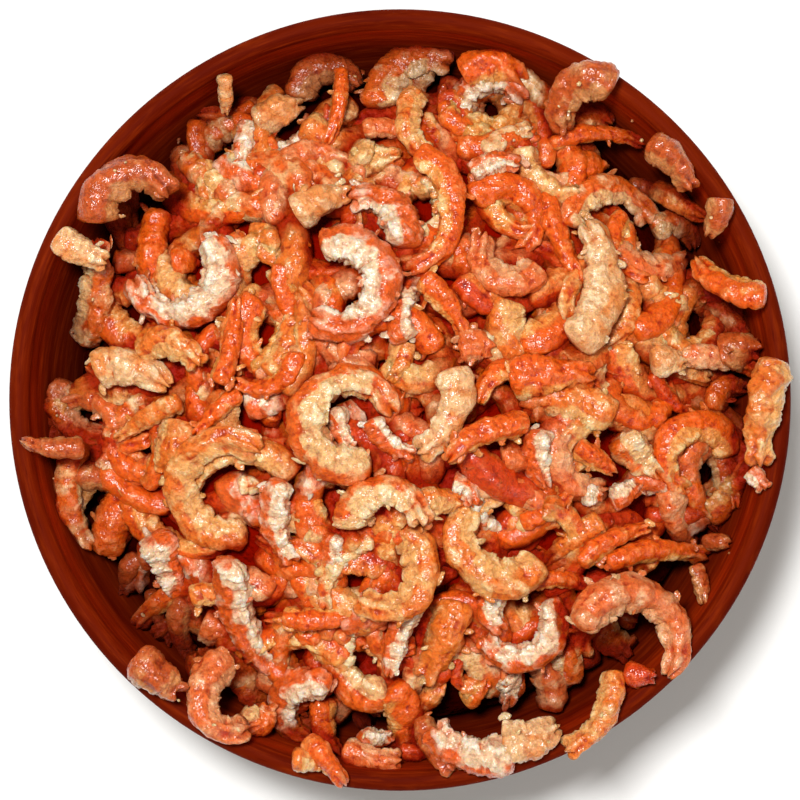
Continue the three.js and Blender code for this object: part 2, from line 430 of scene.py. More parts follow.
def skin_relief(straight, u, v, crinkle, borders, draw):
    """How far the skin stands out or in at each point of a straightened body, as the sum of
    each feature's mask times its height, then its broad dents, its tail blades, and the masks
    that its colours need."""
    drift = np.stack([bumps(straight, 5.0, draw) for _ in range(3)], -1)
    flesh = straight + 1.1 * drift
    border = -np.cos(v) + 0.45 * bumps(flesh, 6.0, draw) + draw.uniform(-0.2, 0.35)
    belly = smooth_step(-0.1, 0.22, border)
    phase = np.interp(u, borders, np.arange(len(borders))) + 0.12 * bumps(flesh, 5.0, draw)
    bulge = np.abs(np.sin(math.pi * phase)) ** 0.5
    lean = (phase % 1) - 0.5
    from_middle = np.abs(np.angle(np.exp(1j * (v - math.pi))))
    knobs = np.exp(-(((from_middle - 0.7) / 0.36) ** 2)) * bulge
    furrow = np.exp(-((from_middle / 0.26) ** 2))
    vein = np.exp(-((np.sin(v / 2) / 0.08) ** 2)) * draw.uniform(0, 1.4)
    seam = np.exp(-((border / 0.12) ** 2)) * draw.uniform(0.3, 1)
    crack, plate = plates(flesh, PLATE, draw)
    small = pillows(flesh, 2.6, draw)
    long_folds = pillows(flesh * [0.25, 1.0, 1.0], 2.4, draw)
    grain = bumps(flesh, 1.0, draw)
    dents = bumps(flesh, 9.0, draw) + 0.6 * bumps(flesh, 4.2, draw)
    tail = smooth_step(*TAIL_FROM, u)
    blades = np.cos(5 * v + 1.2 * drift[..., 0])

    def height(pair):
        """The height on the back plus what the belly adds."""
        return pair[0] + pair[1] * belly

    soft = 1 - 0.6 * tail
    relief = (
        height(SEGMENTS) * (bulge - 0.8)
        - OVERHANG * lean * (1 - belly)
        + crinkle * (1 - tail) * belly * (KNOBS * knobs - FURROW * furrow)
        - VEIN * vein * (1 - belly)
        - SEAM * seam
        + crinkle * height(PLATES) * soft * (0.5 * crack + 0.9 * plate - 0.9)
        + crinkle * height(PILLOWS) * soft * small
        + crinkle * FOLDS * (1 - 0.5 * belly) * long_folds
        + crinkle * height(GRAIN) * grain
        + BLADES * tail * blades
    )
    masks = {
        "belly": belly * soft,
        "relief": np.clip(0.5 + relief * 2.4, 0, 1),
        "along": u,
        "plate": plate,
        "ring": bulge,
    }
    return relief, dents, blades, masks

# %% The whole body surface
DENTS = 0.22  # share of the half width
BACK_LIFT = 0.08  # how much further the back stands out than the belly
FAN_SPREAD = 0.9  # how much wider an open tail fan is
FAN_FLATTER = 0.35  # how much flatter it is
RAGGED = 0.16  # unevenness of the head cut, as a share of the girth
TORN = 0.2  # the same for the tail
BLADE_ENDS = 0.14  # how far the blades stand out at the tail's end


def shrimp_body(spine, back, girth, flatness, crinkle, fan, steps, borders, draw):
    """The grid of a shrimp's skin and the masks that its colours need. Each point is the spine's
    place plus the half width times (cosine of the way round, towards the back) and (sine, to
    the side, flattened), and that half width grows and shrinks by the sum of the relief."""
    ahead, back, side, length, u, v = body_frame(spine, back, steps)
    half = girth / 2
    width = half * half_width(u)
    straight = np.stack([u * length, width * np.cos(v), width * np.sin(v)], -1)
    relief, dents, blades, masks = skin_relief(straight, u, v, crinkle, borders, draw)
    spread = 1 + fan * FAN_SPREAD * smooth_step(0.86, 0.99, u)
    flat_share = flatness * (1 - FAN_FLATTER * fan * smooth_step(0.8, 1, u))
    swell = width * spread * (1 + DENTS * dents + BACK_LIFT * np.cos(v))
    swell += half * relief * np.minimum(1, 2.2 * width / half)
    towards_back = (swell * np.cos(v))[..., None] * back[:, None, :]
    to_side = (swell * flat_share * np.sin(v))[..., None] * side[:, None, :]
    ragged = RAGGED * girth * pillows(straight[:1], 2.8, draw) * np.ones_like(u)
    torn = TORN * girth * pillows(straight[-1:] + straight[:1], 2.2, draw) * np.ones_like(u)
    torn += BLADE_ENDS * girth * blades
    ends = (smooth_step(0.12, 0, u) * -ragged + smooth_step(0.9, 1, u) * torn)[..., None]
    return spine[:, None, :] + towards_back + to_side + ends * ahead[:, None, :], masks

# %% [markdown]
# ## Letting them settle
# A heap is made by dropping things. A height map on a half-millimetre grid holds the top of all
# that lies there already: the wood, the core, and each shrimp laid so far. A new one is tried at
# several tilts, steep ones too beside the wall. At each tilt it is lowered until it touches, and
# the tilt that brings it lowest wins, as gravity would choose. Real shrimp slip in among each
# other, which a map of tops can't show. So each level of the heap has a ceiling under the dome,
# and a shrimp that would stand over it is pushed down into what lies there. The wood doesn't
# give way, so there only the very edges of its outline may press in.

# %% Height map
CELL = 0.5
REACH = 80.0
cells = np.arange(-REACH, REACH + CELL, CELL)
cell_x, cell_y = np.meshgrid(cells, cells, indexing="ij")
cell_radius = np.hypot(cell_x, cell_y)
cell_mound = mound_height(cell_radius)
wood_top = wall_height(cell_radius, HOLLOW_RADIUS, HOLLOW_DEPTH)
wood_top[cell_radius > HOLLOW_RADIUS] = BOWL_HEIGHT
core_top = np.maximum(wood_top, cell_mound - CORE_DEPTH)
heap_top = np.where(cell_radius < CORE_RADIUS, core_top, wood_top)
print(f"the map has {heap_top.size} cells")


def blurred(grid, reach):
    """Each cell's mean over a square that reaches so many cells each way, taken twice."""
    for _ in range(4):
        sums = np.cumsum(np.pad(grid, ((reach + 1, reach), (0, 0)), mode="edge"), axis=0)
        grid = ((sums[2 * reach + 1 :] - sums[: -2 * reach - 1]) / (2 * reach + 1)).T
    return grid

# %% Lowering one shrimp on the map
TILTS = np.radians([-24, -12, 0, 12, 24])
STEEP_TILTS = np.radians([-54, -40, -24, -12, 0, 12, 24, 40, 54])
BESIDE_WALL = 66.0  # mm from the axis, where a shrimp may lean on the wall with a steep tilt
MOST_RISE = 8.0  # mm from end to end of one that leans steeply
PRESSED = 84  # percentile of the cells under a shrimp that carry it
WOOD_MARGIN = 0.2
WOOD_PRESSED = 94  # percentile of the same cells for the wood
CROWN = 90  # percentile of its top that must stay under the ceiling
HELD_COST = 3  # for each millimetre by which the wood holds it above the ceiling
LEAN_COST = 2  # for each square radian of tilt


def settle(flat, across, tall, arch, ceiling):
    """Heights of a spine's points once it has been lowered. flat is where they are from above,
    across and tall are the body's half sizes there, and arch is how each rises over the line
    between its ends. ceiling is how far over the dome its top may stand. The map is raised to
    the shrimp's top."""
    low = np.floor((flat.min(0) - across.max() + REACH) / CELL).astype(int)
    high = np.ceil((flat.max(0) + across.max() + REACH) / CELL).astype(int) + 1
    low, high = np.maximum(low, 0), np.minimum(high, len(cells))
    window = (slice(low[0], high[0]), slice(low[1], high[1]))
    x, y = cell_x[window], cell_y[window]
    away = np.hypot(x[..., None] - flat[:, 0], y[..., None] - flat[:, 1]) / across
    rise = np.where(away < 1, tall * np.sqrt(np.clip(1 - away * away, 0, 1)), np.nan)
    covered = (away < 1).any(-1)
    rise = rise[covered]
    ground = heap_top[window][covered]
    wood = wood_top[window][covered]
    roof = cell_mound[window][covered] + ceiling
    middle = flat.mean(0)
    tilts = STEEP_TILTS if np.linalg.norm(middle) > BESIDE_WALL else TILTS
    best = None
    for tilt_x in tilts:
        for tilt_y in tilts:
            slope = (flat - middle) @ np.array([math.tan(tilt_x), math.tan(tilt_y)])
            if np.ptp(slope) > MOST_RISE and max(abs(tilt_x), abs(tilt_y)) > TILTS[-1]:
                continue
            shape = arch + slope
            under = np.nanmin(shape - rise, -1)
            over = np.nanmax(shape + rise, -1)
            rest = np.percentile(ground - under, PRESSED)
            pushed = min(rest, np.percentile(roof - over, 100 - CROWN))
            lift = max(pushed, np.percentile(wood + WOOD_MARGIN - under, WOOD_PRESSED))
            cost = rest + shape.mean() + HELD_COST * max(0, lift - pushed)
            cost += LEAN_COST * (tilt_x**2 + tilt_y**2)
            if best is None or cost < best[0]:
                best = (cost, lift, shape, over)
    _, lift, shape, over = best
    patch = heap_top[window]
    patch[covered] = np.maximum(patch[covered], over + lift)
    return shape + lift

# %% [markdown]
# ## The shrimp under the others
# A lower layer fills the gaps between those that the photo shows. Its places follow the golden
# angle, which spreads points evenly over a disc, as seeds lie in a sunflower. Each lies turned
# by a seeded draw. They get few faces, because little of them is seen.

# %% Lay one shrimp
SPINE_POINTS = 22
ROUGHNESS_ROOM = 1.2  # how far knobs stand out from the plain body, with a gap to the wall
ON_LIP = 70.5  # a shrimp whose middle line comes out further than this lies on the lip
ROUNDER_TIPPED = 0.8  # how much rounder a shrimp is whose back or belly is up
BETWEEN_ENDS = (0.05, 0.93)  # shares of the length without the rounded ends
ARCH = 0.22  # how far the ends of one with its back up hang down, as a share of the girth
END_RISE = 1.2  # mm by which its tail may lie higher or lower than its head
MOVES_INWARD = 3  # times that one over the wall is moved in
FINE = (80, 28)  # rings along the body and points around it
MEDIUM = (66, 24)
COARSE = (38, 15)
FLATNESS = {  # least and most thickness, as a share of the width
    "pink": (0.58, 0.8),
    "dull": (0.55, 0.8),
    "red": (0.5, 0.75),
    "orange": (0.45, 0.72),
    "tan": (0.5, 0.75),
    "cream": (0.58, 0.8),
    "white": (0.58, 0.8),
    "pale": (0.5, 0.7),
}
laid = []


def sight(point, height):
    """Where a point that the eye sees on the rim's plane lies at another height: nearer to the
    axis by the share of the eye's distance that it is raised."""
    return np.asarray(point, float) * (1 - (height - BOWL_HEIGHT) / EYE_HEIGHT)


def lay(first, middle, last, girth, roll, kind, steps, ceiling, draw, on_lip=False):
    """Settles a shrimp that runs through three points seen from above, and keeps its form. One
    that may lie on the lip stays within the rim, and any other is moved inside the wall."""
    share = np.linspace(0, 1, SPINE_POINTS)
    flat, outward = arc_through(first, middle, last, share)
    tipped = abs(math.sin(roll))
    flatness = draw.uniform(*FLATNESS[kind])
    flatness += ROUNDER_TIPPED * (1 - flatness) * tipped
    across = girth / 2 * half_width(np.clip(share, *BETWEEN_ENDS))
    tall = across * (flatness + (1 - flatness) * tipped)
    across = across * (1 - (1 - flatness) * tipped)
    limit = RIM_RADIUS if on_lip else HOLLOW_RADIUS - ROUGHNESS_ROOM
    inward = -flat.mean(0) / np.linalg.norm(flat.mean(0))
    for _ in range(MOVES_INWARD):
        beyond = (np.linalg.norm(flat, axis=1) + across).max() - limit
        flat = flat + max(0, beyond) * inward
    arch = -math.sin(roll) * ARCH * girth * (2 * share - 1) ** 2
    arch = arch + draw.uniform(-END_RISE, END_RISE) * share
    height = settle(flat, across, tall, arch, ceiling)
    laid.append((flat, height, outward, girth, roll, flatness, kind, steps))

# %% The lower layer
GOLDEN_ANGLE = math.pi * (3 - math.sqrt(5))
UNDER_CEILING = (-6.0, -1.6)  # mm over the dome
UNDER_COUNT = 130
UNDER_REACH = 59.0
UNDER_LENGTH = 30.0
UNDER_GIRTH = 7.4
UNDER_SIZES = (0.8, 1.1)
UNDER_CURL = (110, 240)  # degrees
DRAWN_KINDS = ["orange", "tan", "pink", "cream", "white", "red"]
DRAWN_SHARES = [0.4, 0.22, 0.1, 0.1, 0.05, 0.13]
DRAWN_ROLL = (-0.6, 1.4)  # radians
ARC_MIDDLE = 0.6  # how far the middle of an arc lies from its circle's, as a share of the radius


def lay_drawn(middle, start, curl, length, girth, ceiling, draw):
    """Lays a seeded shrimp: an arc that turns by curl about its middle, facing start."""
    bend = length / curl
    towards = np.array([math.cos(start), math.sin(start)])
    turns = start + curl * np.array([-0.5, 0, 0.5])
    centre = middle - bend * towards * ARC_MIDDLE
    ends = centre + bend * np.stack([np.cos(turns), np.sin(turns)], -1)
    kind = draw.choice(DRAWN_KINDS, p=DRAWN_SHARES)
    roll = draw.uniform(*DRAWN_ROLL)
    lay(*ends, girth, roll, kind, COARSE, ceiling, draw)


under_draw = np.random.default_rng(SEED + 1)
for number in range(UNDER_COUNT):
    radius = UNDER_REACH * math.sqrt((number + 0.5) / UNDER_COUNT)
    turn = number * GOLDEN_ANGLE
    middle = radius * np.array([math.cos(turn), math.sin(turn)])
    size = under_draw.uniform(*UNDER_SIZES)
    curl = math.radians(under_draw.uniform(*UNDER_CURL))
    ceiling = under_draw.uniform(*UNDER_CEILING)
    facing = under_draw.uniform(0, 2 * math.pi)
    length, girth = UNDER_LENGTH * size, UNDER_GIRTH * size
    lay_drawn(middle, facing, curl, length, girth, ceiling, under_draw)
print(f"{len(laid)} under shrimp, top at {heap_top[cell_radius < UNDER_REACH].max():.1f} mm")

# %% [markdown]
# ## The shrimp that show
# These were read from the photo, one row for each: where its head cut, its middle and its tail
# lie, how thick it is, its roll, how high in the pile it lies, and the look of its flesh.
# Places and girths are in pixels of the photo's 800 by 800 frame, where five make a millimetre.
# Roll is in degrees: 0 lies on its side, 90 shows its back, and below 0 shows its belly.

# %% How the photo is read
PHOTO_MIDDLE = np.array([399.0, 401.0])
PIXELS_PER_MM = 5.0


def from_photo(x, y):
    """A place on the rim's plane, in millimetres, from a pixel of the photo."""
    return (np.array([x, y]) - PHOTO_MIDDLE) * [1, -1] / PIXELS_PER_MM

# %% Top left
READ = []
READ += [
    (104, 226, 120, 182, 172, 200, 42, 30, 0, "dull"),
    (50, 232, 72, 246, 96, 258, 30, 0, 3, "pale"),
    (75, 342, 92, 300, 92, 242, 38, 20, 3, "cream"),
    (158, 212, 150, 245, 158, 290, 34, 60, 1, "orange"),
    (208, 238, 190, 312, 130, 280, 36, -25, 3, "white"),
    (170, 262, 182, 260, 194, 264, 33, 80, 1, "orange"),
    (225, 80, 225, 95, 223, 112, 18, 60, 1, "pale"),
    (252, 102, 222, 122, 188, 157, 18, 70, 2, "orange"),
    (180, 145, 186, 180, 196, 215, 34, 60, 0, "pink"),
    (203, 160, 205, 180, 215, 205, 28, 20, 1, "tan"),
    (247, 120, 242, 142, 240, 165, 22, -20, 2, "white"),
    (228, 175, 238, 205, 262, 190, 28, -20, 1, "pink"),
    (257, 122, 276, 112, 296, 104, 36, 75, 2, "pale"),
    (262, 225, 265, 250, 290, 262, 30, 20, 1, "tan"),
]

# %% Top
READ += [
    (338, 66, 338, 105, 326, 143, 20, 75, 2, "orange"),
    (297, 98, 325, 66, 354, 84, 38, 20, 0, "dull"),
    (380, 110, 398, 65, 450, 62, 40, -10, 1, "cream"),
    (462, 75, 492, 64, 520, 80, 42, 50, 1, "orange"),
    (465, 132, 460, 102, 523, 97, 32, -20, 2, "white"),
    (420, 92, 408, 125, 428, 155, 28, 10, 1, "tan"),
    (415, 150, 452, 215, 410, 272, 30, -10, 2, "orange"),
    (352, 150, 375, 162, 398, 158, 40, -60, 1, "tan"),
    (285, 225, 300, 158, 357, 188, 38, 45, 1, "pink"),
    (292, 216, 316, 204, 342, 196, 38, 60, 3, "pale"),
    (402, 245, 392, 210, 350, 200, 40, -20, 3, "white"),
    (315, 250, 380, 290, 313, 318, 42, -15, 3, "white"),
    (286, 262, 290, 305, 325, 345, 28, 30, 1, "orange"),
    (362, 130, 382, 128, 402, 135, 22, 40, 1, "pink"),
]

# %% Top right
READ += [
    (484, 155, 505, 138, 530, 130, 24, -10, 2, "pale"),
    (468, 175, 492, 164, 518, 165, 24, -25, 2, "white"),
    (475, 205, 522, 198, 512, 250, 40, 30, 1, "orange"),
    (535, 268, 500, 282, 482, 238, 36, 25, 2, "pink"),
    (405, 340, 400, 305, 425, 280, 30, -30, 2, "white"),
    (420, 280, 445, 305, 465, 338, 25, 40, 2, "orange"),
    (608, 95, 578, 88, 562, 128, 40, 25, 1, "dull"),
    (575, 125, 592, 114, 610, 122, 34, -20, 1, "tan"),
    (632, 186, 655, 188, 676, 206, 24, 40, 0, "dull"),
    (550, 145, 600, 132, 645, 142, 20, 75, 2, "orange"),
    (645, 148, 668, 165, 686, 192, 34, 50, 0, "dull"),
    (576, 168, 590, 163, 604, 167, 35, 70, 1, "orange"),
    (572, 228, 595, 193, 650, 225, 32, 0, 2, "cream"),
    (572, 342, 603, 285, 582, 222, 45, -15, 3, "pale"),
    (660, 184, 685, 202, 706, 216, 28, 60, 2, "tan"),
    (655, 228, 675, 222, 698, 243, 30, 10, 1, "cream"),
    (714, 200, 711, 220, 704, 236, 28, 50, 0, "dull"),
    (772, 292, 738, 285, 708, 255, 32, 35, 2, "orange"),
    (625, 215, 615, 250, 646, 276, 24, 30, 1, "orange"),
    (548, 192, 560, 240, 582, 287, 25, 60, 1, "orange"),
    (620, 278, 626, 305, 603, 345, 28, 10, 1, "tan"),
    (675, 292, 668, 318, 648, 345, 32, -20, 1, "cream"),
    (690, 280, 700, 295, 720, 312, 32, 0, 1, "tan"),
]

# %% Right
READ += [
    (652, 365, 668, 362, 684, 364, 32, 10, 3, "pale"),
    (680, 360, 720, 360, 758, 373, 24, 20, 3, "pink"),
    (650, 372, 666, 395, 690, 416, 18, 60, 1, "red"),
    (716, 412, 728, 390, 750, 390, 30, 50, 1, "orange"),
    (732, 458, 686, 428, 688, 492, 34, -5, 3, "orange"),
    (728, 468, 735, 490, 738, 508, 24, 60, 2, "orange"),
    (695, 485, 708, 508, 723, 533, 20, 70, 2, "orange"),
    (780, 362, 770, 415, 765, 462, 40, 20, 2, "tan"),
    (668, 488, 680, 515, 698, 552, 30, 30, 1, "pink"),
    (620, 438, 640, 458, 657, 474, 38, -20, 2, "cream"),
    (610, 500, 622, 495, 640, 484, 28, -20, 1, "white"),
    (572, 447, 594, 460, 613, 474, 26, 60, 2, "orange"),
    (580, 497, 590, 494, 601, 496, 25, -60, 1, "white"),
    (520, 522, 548, 510, 570, 490, 22, 60, 1, "orange"),
    (505, 385, 548, 380, 592, 378, 45, 40, 2, "orange"),
    (610, 420, 575, 405, 525, 408, 42, 10, 2, "tan"),
    (525, 425, 485, 433, 448, 460, 30, 60, 3, "orange"),
    (540, 428, 537, 458, 545, 485, 32, -25, 2, "white"),
    (502, 462, 515, 458, 529, 462, 38, 60, 1, "pink"),
    (508, 297, 505, 330, 535, 355, 42, 10, 1, "tan"),
    (462, 350, 475, 346, 489, 350, 38, 60, 1, "pink"),
]

# %% Middle
READ += [
    (370, 462, 312, 400, 392, 412, 40, -10, 3, "cream"),
    (335, 408, 342, 430, 350, 450, 22, -20, 2, "white"),
    (372, 420, 388, 443, 412, 456, 22, -20, 2, "white"),
    (448, 368, 453, 408, 418, 452, 36, 0, 3, "pale"),
    (402, 342, 398, 360, 388, 378, 28, 30, 1, "tan"),
    (350, 535, 378, 492, 420, 527, 36, -10, 3, "cream"),
    (398, 535, 420, 572, 358, 600, 38, 25, 3, "tan"),
    (335, 535, 332, 550, 342, 570, 26, -30, 1, "white"),
    (422, 506, 440, 503, 460, 505, 32, 20, 2, "tan"),
    (450, 485, 465, 490, 472, 505, 24, -30, 2, "white"),
    (538, 562, 466, 558, 500, 492, 42, 15, 3, "tan"),
]

# %% Left
READ += [
    (92, 376, 125, 368, 165, 386, 42, 15, 3, "pale"),
    (140, 355, 172, 345, 198, 368, 34, 20, 3, "tan"),
    (217, 385, 232, 335, 235, 300, 26, 60, 3, "orange"),
    (292, 350, 275, 385, 233, 380, 26, 50, 2, "orange"),
    (182, 402, 150, 418, 115, 440, 24, 50, 2, "tan"),
    (178, 420, 170, 445, 160, 470, 42, 60, 2, "tan"),
    (62, 380, 62, 420, 105, 434, 32, 30, 1, "pink"),
    (74, 400, 85, 396, 96, 400, 28, -60, 1, "white"),
    (90, 446, 56, 448, 27, 441, 24, 60, 0, "dull"),
    (58, 480, 85, 477, 112, 488, 32, 50, 0, "dull"),
    (95, 455, 112, 470, 125, 488, 28, -20, 1, "pink"),
    (245, 533, 180, 495, 258, 452, 38, 10, 2, "tan"),
    (236, 490, 250, 488, 265, 492, 18, 0, 2, "cream"),
    (283, 482, 276, 530, 293, 565, 32, -25, 2, "white"),
    (260, 438, 225, 440, 190, 462, 16, 50, 1, "pink"),
    (240, 393, 220, 412, 195, 436, 20, 60, 2, "orange"),
]

# %% Lower left
READ += [
    (100, 555, 112, 515, 132, 472, 45, 70, 1, "orange"),
    (152, 538, 163, 562, 172, 595, 38, -15, 2, "white"),
    (135, 560, 122, 578, 118, 598, 22, 40, 0, "dull"),
    (136, 560, 148, 556, 160, 560, 35, 70, 0, "dull"),
    (145, 594, 155, 622, 166, 652, 18, 60, 1, "dull"),
    (140, 656, 158, 670, 176, 688, 46, 45, 1, "dull"),
    (186, 600, 174, 630, 188, 664, 26, 40, 0, "dull"),
    (190, 600, 210, 597, 232, 606, 26, 40, 2, "tan"),
    (196, 626, 214, 634, 234, 652, 34, 30, 1, "pink"),
    (232, 560, 236, 615, 275, 676, 38, -25, 3, "white"),
    (232, 662, 204, 692, 246, 726, 38, 30, 2, "pink"),
    (212, 676, 234, 682, 262, 692, 28, 20, 2, "pale"),
    (240, 716, 256, 722, 264, 706, 34, 20, 2, "cream"),
]

# %% Bottom
READ += [
    (281, 617, 315, 620, 355, 612, 25, 60, 2, "orange"),
    (320, 645, 295, 640, 272, 666, 25, 50, 2, "orange"),
    (385, 697, 335, 655, 390, 620, 38, -10, 2, "cream"),
    (415, 600, 402, 635, 388, 676, 28, -25, 2, "white"),
    (452, 602, 442, 640, 425, 676, 45, 65, 2, "tan"),
    (328, 690, 290, 692, 308, 742, 34, -20, 3, "white"),
    (306, 738, 326, 758, 343, 780, 26, 70, 2, "orange"),
    (322, 700, 322, 730, 336, 758, 30, 40, 1, "orange"),
    (335, 700, 356, 705, 380, 722, 18, 40, 1, "pink"),
    (342, 750, 370, 756, 400, 760, 28, 30, 1, "pink"),
    (382, 690, 404, 722, 396, 758, 42, 20, 2, "orange"),
    (362, 735, 378, 743, 392, 738, 24, -30, 3, "white"),
    (412, 712, 426, 700, 440, 684, 30, 40, 1, "tan"),
    (464, 702, 475, 692, 484, 682, 26, 20, 1, "orange"),
    (424, 720, 436, 750, 450, 766, 28, 50, 0, "dull"),
    (508, 748, 470, 750, 432, 722, 42, -20, 2, "white"),
    (494, 737, 520, 736, 552, 724, 45, 30, 3, "pale"),
    (496, 590, 489, 610, 500, 630, 28, -30, 2, "white"),
    (547, 602, 520, 660, 483, 635, 34, -20, 3, "white"),
    (294, 756, 306, 755, 320, 760, 28, 60, 1, "tan"),
    (403, 757, 415, 755, 427, 758, 24, 60, 0, "red"),
]

# %% Lower right
READ += [
    (560, 650, 565, 680, 550, 690, 36, 0, 1, "cream"),
    (575, 625, 635, 592, 660, 674, 40, 25, 3, "pink"),
    (614, 676, 606, 715, 568, 752, 30, 45, 3, "tan"),
    (625, 674, 636, 671, 648, 674, 28, 60, 0, "red"),
    (460, 660, 455, 675, 462, 690, 18, 50, 1, "red"),
    (460, 694, 470, 686, 482, 694, 28, 20, 1, "tan"),
    (500, 672, 512, 690, 508, 705, 36, -30, 1, "white"),
    (530, 585, 560, 580, 590, 590, 22, 60, 1, "orange"),
    (605, 566, 650, 552, 708, 560, 26, 60, 2, "orange"),
    (580, 566, 605, 545, 650, 530, 24, 60, 2, "orange"),
    (600, 522, 572, 545, 550, 565, 34, 40, 1, "tan"),
    (694, 566, 699, 586, 703, 606, 18, 0, 1, "dull"),
    (709, 546, 720, 543, 731, 546, 22, 60, 0, "dull"),
    (724, 354, 740, 348, 757, 352, 42, 60, 0, "dull"),
    (745, 470, 752, 478, 757, 488, 22, 20, 1, "white"),
]
print(f"{len(READ)} shrimp read from the photo")

# %% Lay them, the lowest first
CEILINGS = [-5.0, -2.4, 0.2, 2.8]  # over the dome, for each level of the pile
LOWEST_SEEN = 5.0  # mm under the rim
ROLL_DRAWN = 0.1  # radians by which a roll may differ from what was read

shown_draw = np.random.default_rng(SEED + 2)
for x1, y1, x2, y2, x3, y3, girth, roll, level, kind in sorted(READ, key=lambda row: row[8]):
    points = [from_photo(x1, y1), from_photo(x2, y2), from_photo(x3, y3)]
    thick = girth / PIXELS_PER_MM
    height = mound_height(np.linalg.norm(points[1])) + CEILINGS[level] - thick / 2
    height = max(height, BOWL_HEIGHT - LOWEST_SEEN)
    places = [sight(point, height) for point in points]
    turn = math.radians(roll) + shown_draw.uniform(-ROLL_DRAWN, ROLL_DRAWN)
    steps = (COARSE, MEDIUM, FINE, FINE)[level]
    outmost = max(np.linalg.norm(place) for place in places)
    lay(*places, thick, turn, kind, steps, CEILINGS[level], shown_draw, outmost > ON_LIP)
laid_top = heap_top[cell_radius < HOLLOW_RADIUS].max()
print(f"{len(laid)} shrimp laid, top at {laid_top:.1f} of {HEAP_TOP:.1f} mm")

# %% [markdown]
# The photo shows black holes down to the wood in only a few places. Everywhere else, the emptiest
# place is looked for again and again on the map, and a small shrimp goes there.

# %% Fill what is left open
HOLES = [  # place and radius in pixels of the photo
    (120, 262, 18), (600, 650, 18), (735, 328, 24), (700, 592, 24), (352, 728, 13), (460, 465, 18),
    (240, 478, 16), (150, 630, 22), (125, 600, 14), (633, 165, 16), (525, 80, 14), (640, 700, 30),
    (470, 718, 16), (60, 345, 16), (112, 166, 14), (30, 410, 12), (745, 520, 14), (200, 100, 20),
]
FILL_COUNT = 170
FILL_REACH = 65.0
FILL_LENGTH = (14, 26)
FILL_GIRTH = (5.2, 7.2)
FILL_CEILING = (-4.4, -2.0)  # mm over the dome
FILL_CURL = (40, 130)  # degrees
FILL_BLUR = 2  # cells each way over which emptiness is judged
HOLE_DEPTH = 8.0  # mm under the rim

kept_open = np.zeros(heap_top.shape, bool)
for x, y, radius in HOLES:
    hole = sight(from_photo(x, y), BOWL_HEIGHT - HOLE_DEPTH)
    clear = radius / PIXELS_PER_MM + FILL_GIRTH[0] / 2
    kept_open |= np.hypot(cell_x - hole[0], cell_y - hole[1]) < clear
fill_draw = np.random.default_rng(SEED + 5)
for _ in range(FILL_COUNT):
    lack = cell_mound - blurred(heap_top, FILL_BLUR)
    lack[kept_open | (cell_radius > FILL_REACH)] = -math.inf
    spot = np.unravel_index(lack.argmax(), lack.shape)
    middle = np.array([cell_x[spot], cell_y[spot]])
    facing = fill_draw.uniform(0, 2 * math.pi)
    curl = math.radians(fill_draw.uniform(*FILL_CURL))
    length, girth = fill_draw.uniform(*FILL_LENGTH), fill_draw.uniform(*FILL_GIRTH)
    lay_drawn(middle, facing, curl, length, girth, fill_draw.uniform(*FILL_CEILING), fill_draw)
print(f"{len(laid)} shrimp in all; the emptiest place lacks {lack.max():.1f} mm")

# %% [markdown]
# ## From spines to meshes
# Shrimp with one look of flesh are joined into one mesh, or into a few where there are many,
# because a heap of many small objects is slow and their material is the same anyway. The crinkle
# is strongest on white and cream flesh, and weakest on the smooth pale strips.

# %% How deep a place lies in a gap
NEARBY = 5  # cells each way
DEEPEST = 4.0  # how far under its surroundings flesh has its full painted shade, a deep red
SHADED_FROM = (52, 70)  # distance from the axis where the painted shade begins and is full
SHADED_UNDER = (3.0, 16.0)  # how far under the lip the painted shade begins and is full

surroundings = blurred(heap_top, NEARBY)


def depth_in_gap(grid):
    """How far points lie under the heap's mean top around them, as a share of DEEPEST."""
    cell = np.clip(np.rint((grid[..., :2] + REACH) / CELL).astype(int), 0, len(cells) - 1)
    return np.clip((surroundings[cell[..., 0], cell[..., 1]] - grid[..., 2]) / DEEPEST, 0, 1)


def shade_of_wall(grid):
    """How much painted shade a point gets: 1 for points deep beside the wall and 0 for those high
    up or far from it.
    """
    radius = np.hypot(grid[..., 0], grid[..., 1])
    under = smooth_step(*SHADED_UNDER, BOWL_HEIGHT - grid[..., 2])
    return smooth_step(*SHADED_FROM, radius) * under

# %% How crinkled each look is
CRINKLE = {
    "pink": 0.8, "red": 0.8, "orange": 0.75, "tan": 0.8,
    "cream": 1.0, "white": 1.2, "pale": 0.55, "dull": 0.7,
}
ANGULAR = 0.6  # how straight each segment is, where 1 would leave no curve between its ends
FAN_SHARE = 0.6  # of the shrimp have an open tail fan
FAN_OPEN = (0.5, 1)
TWIST = 0.5  # most radians by which a body twists from its head to its tail


def read_between(shares, known, rows):
    """Rows of numbers at other shares of the way, on straight lines between those known."""
    return np.stack([np.interp(shares, known, column) for column in rows.T], -1)


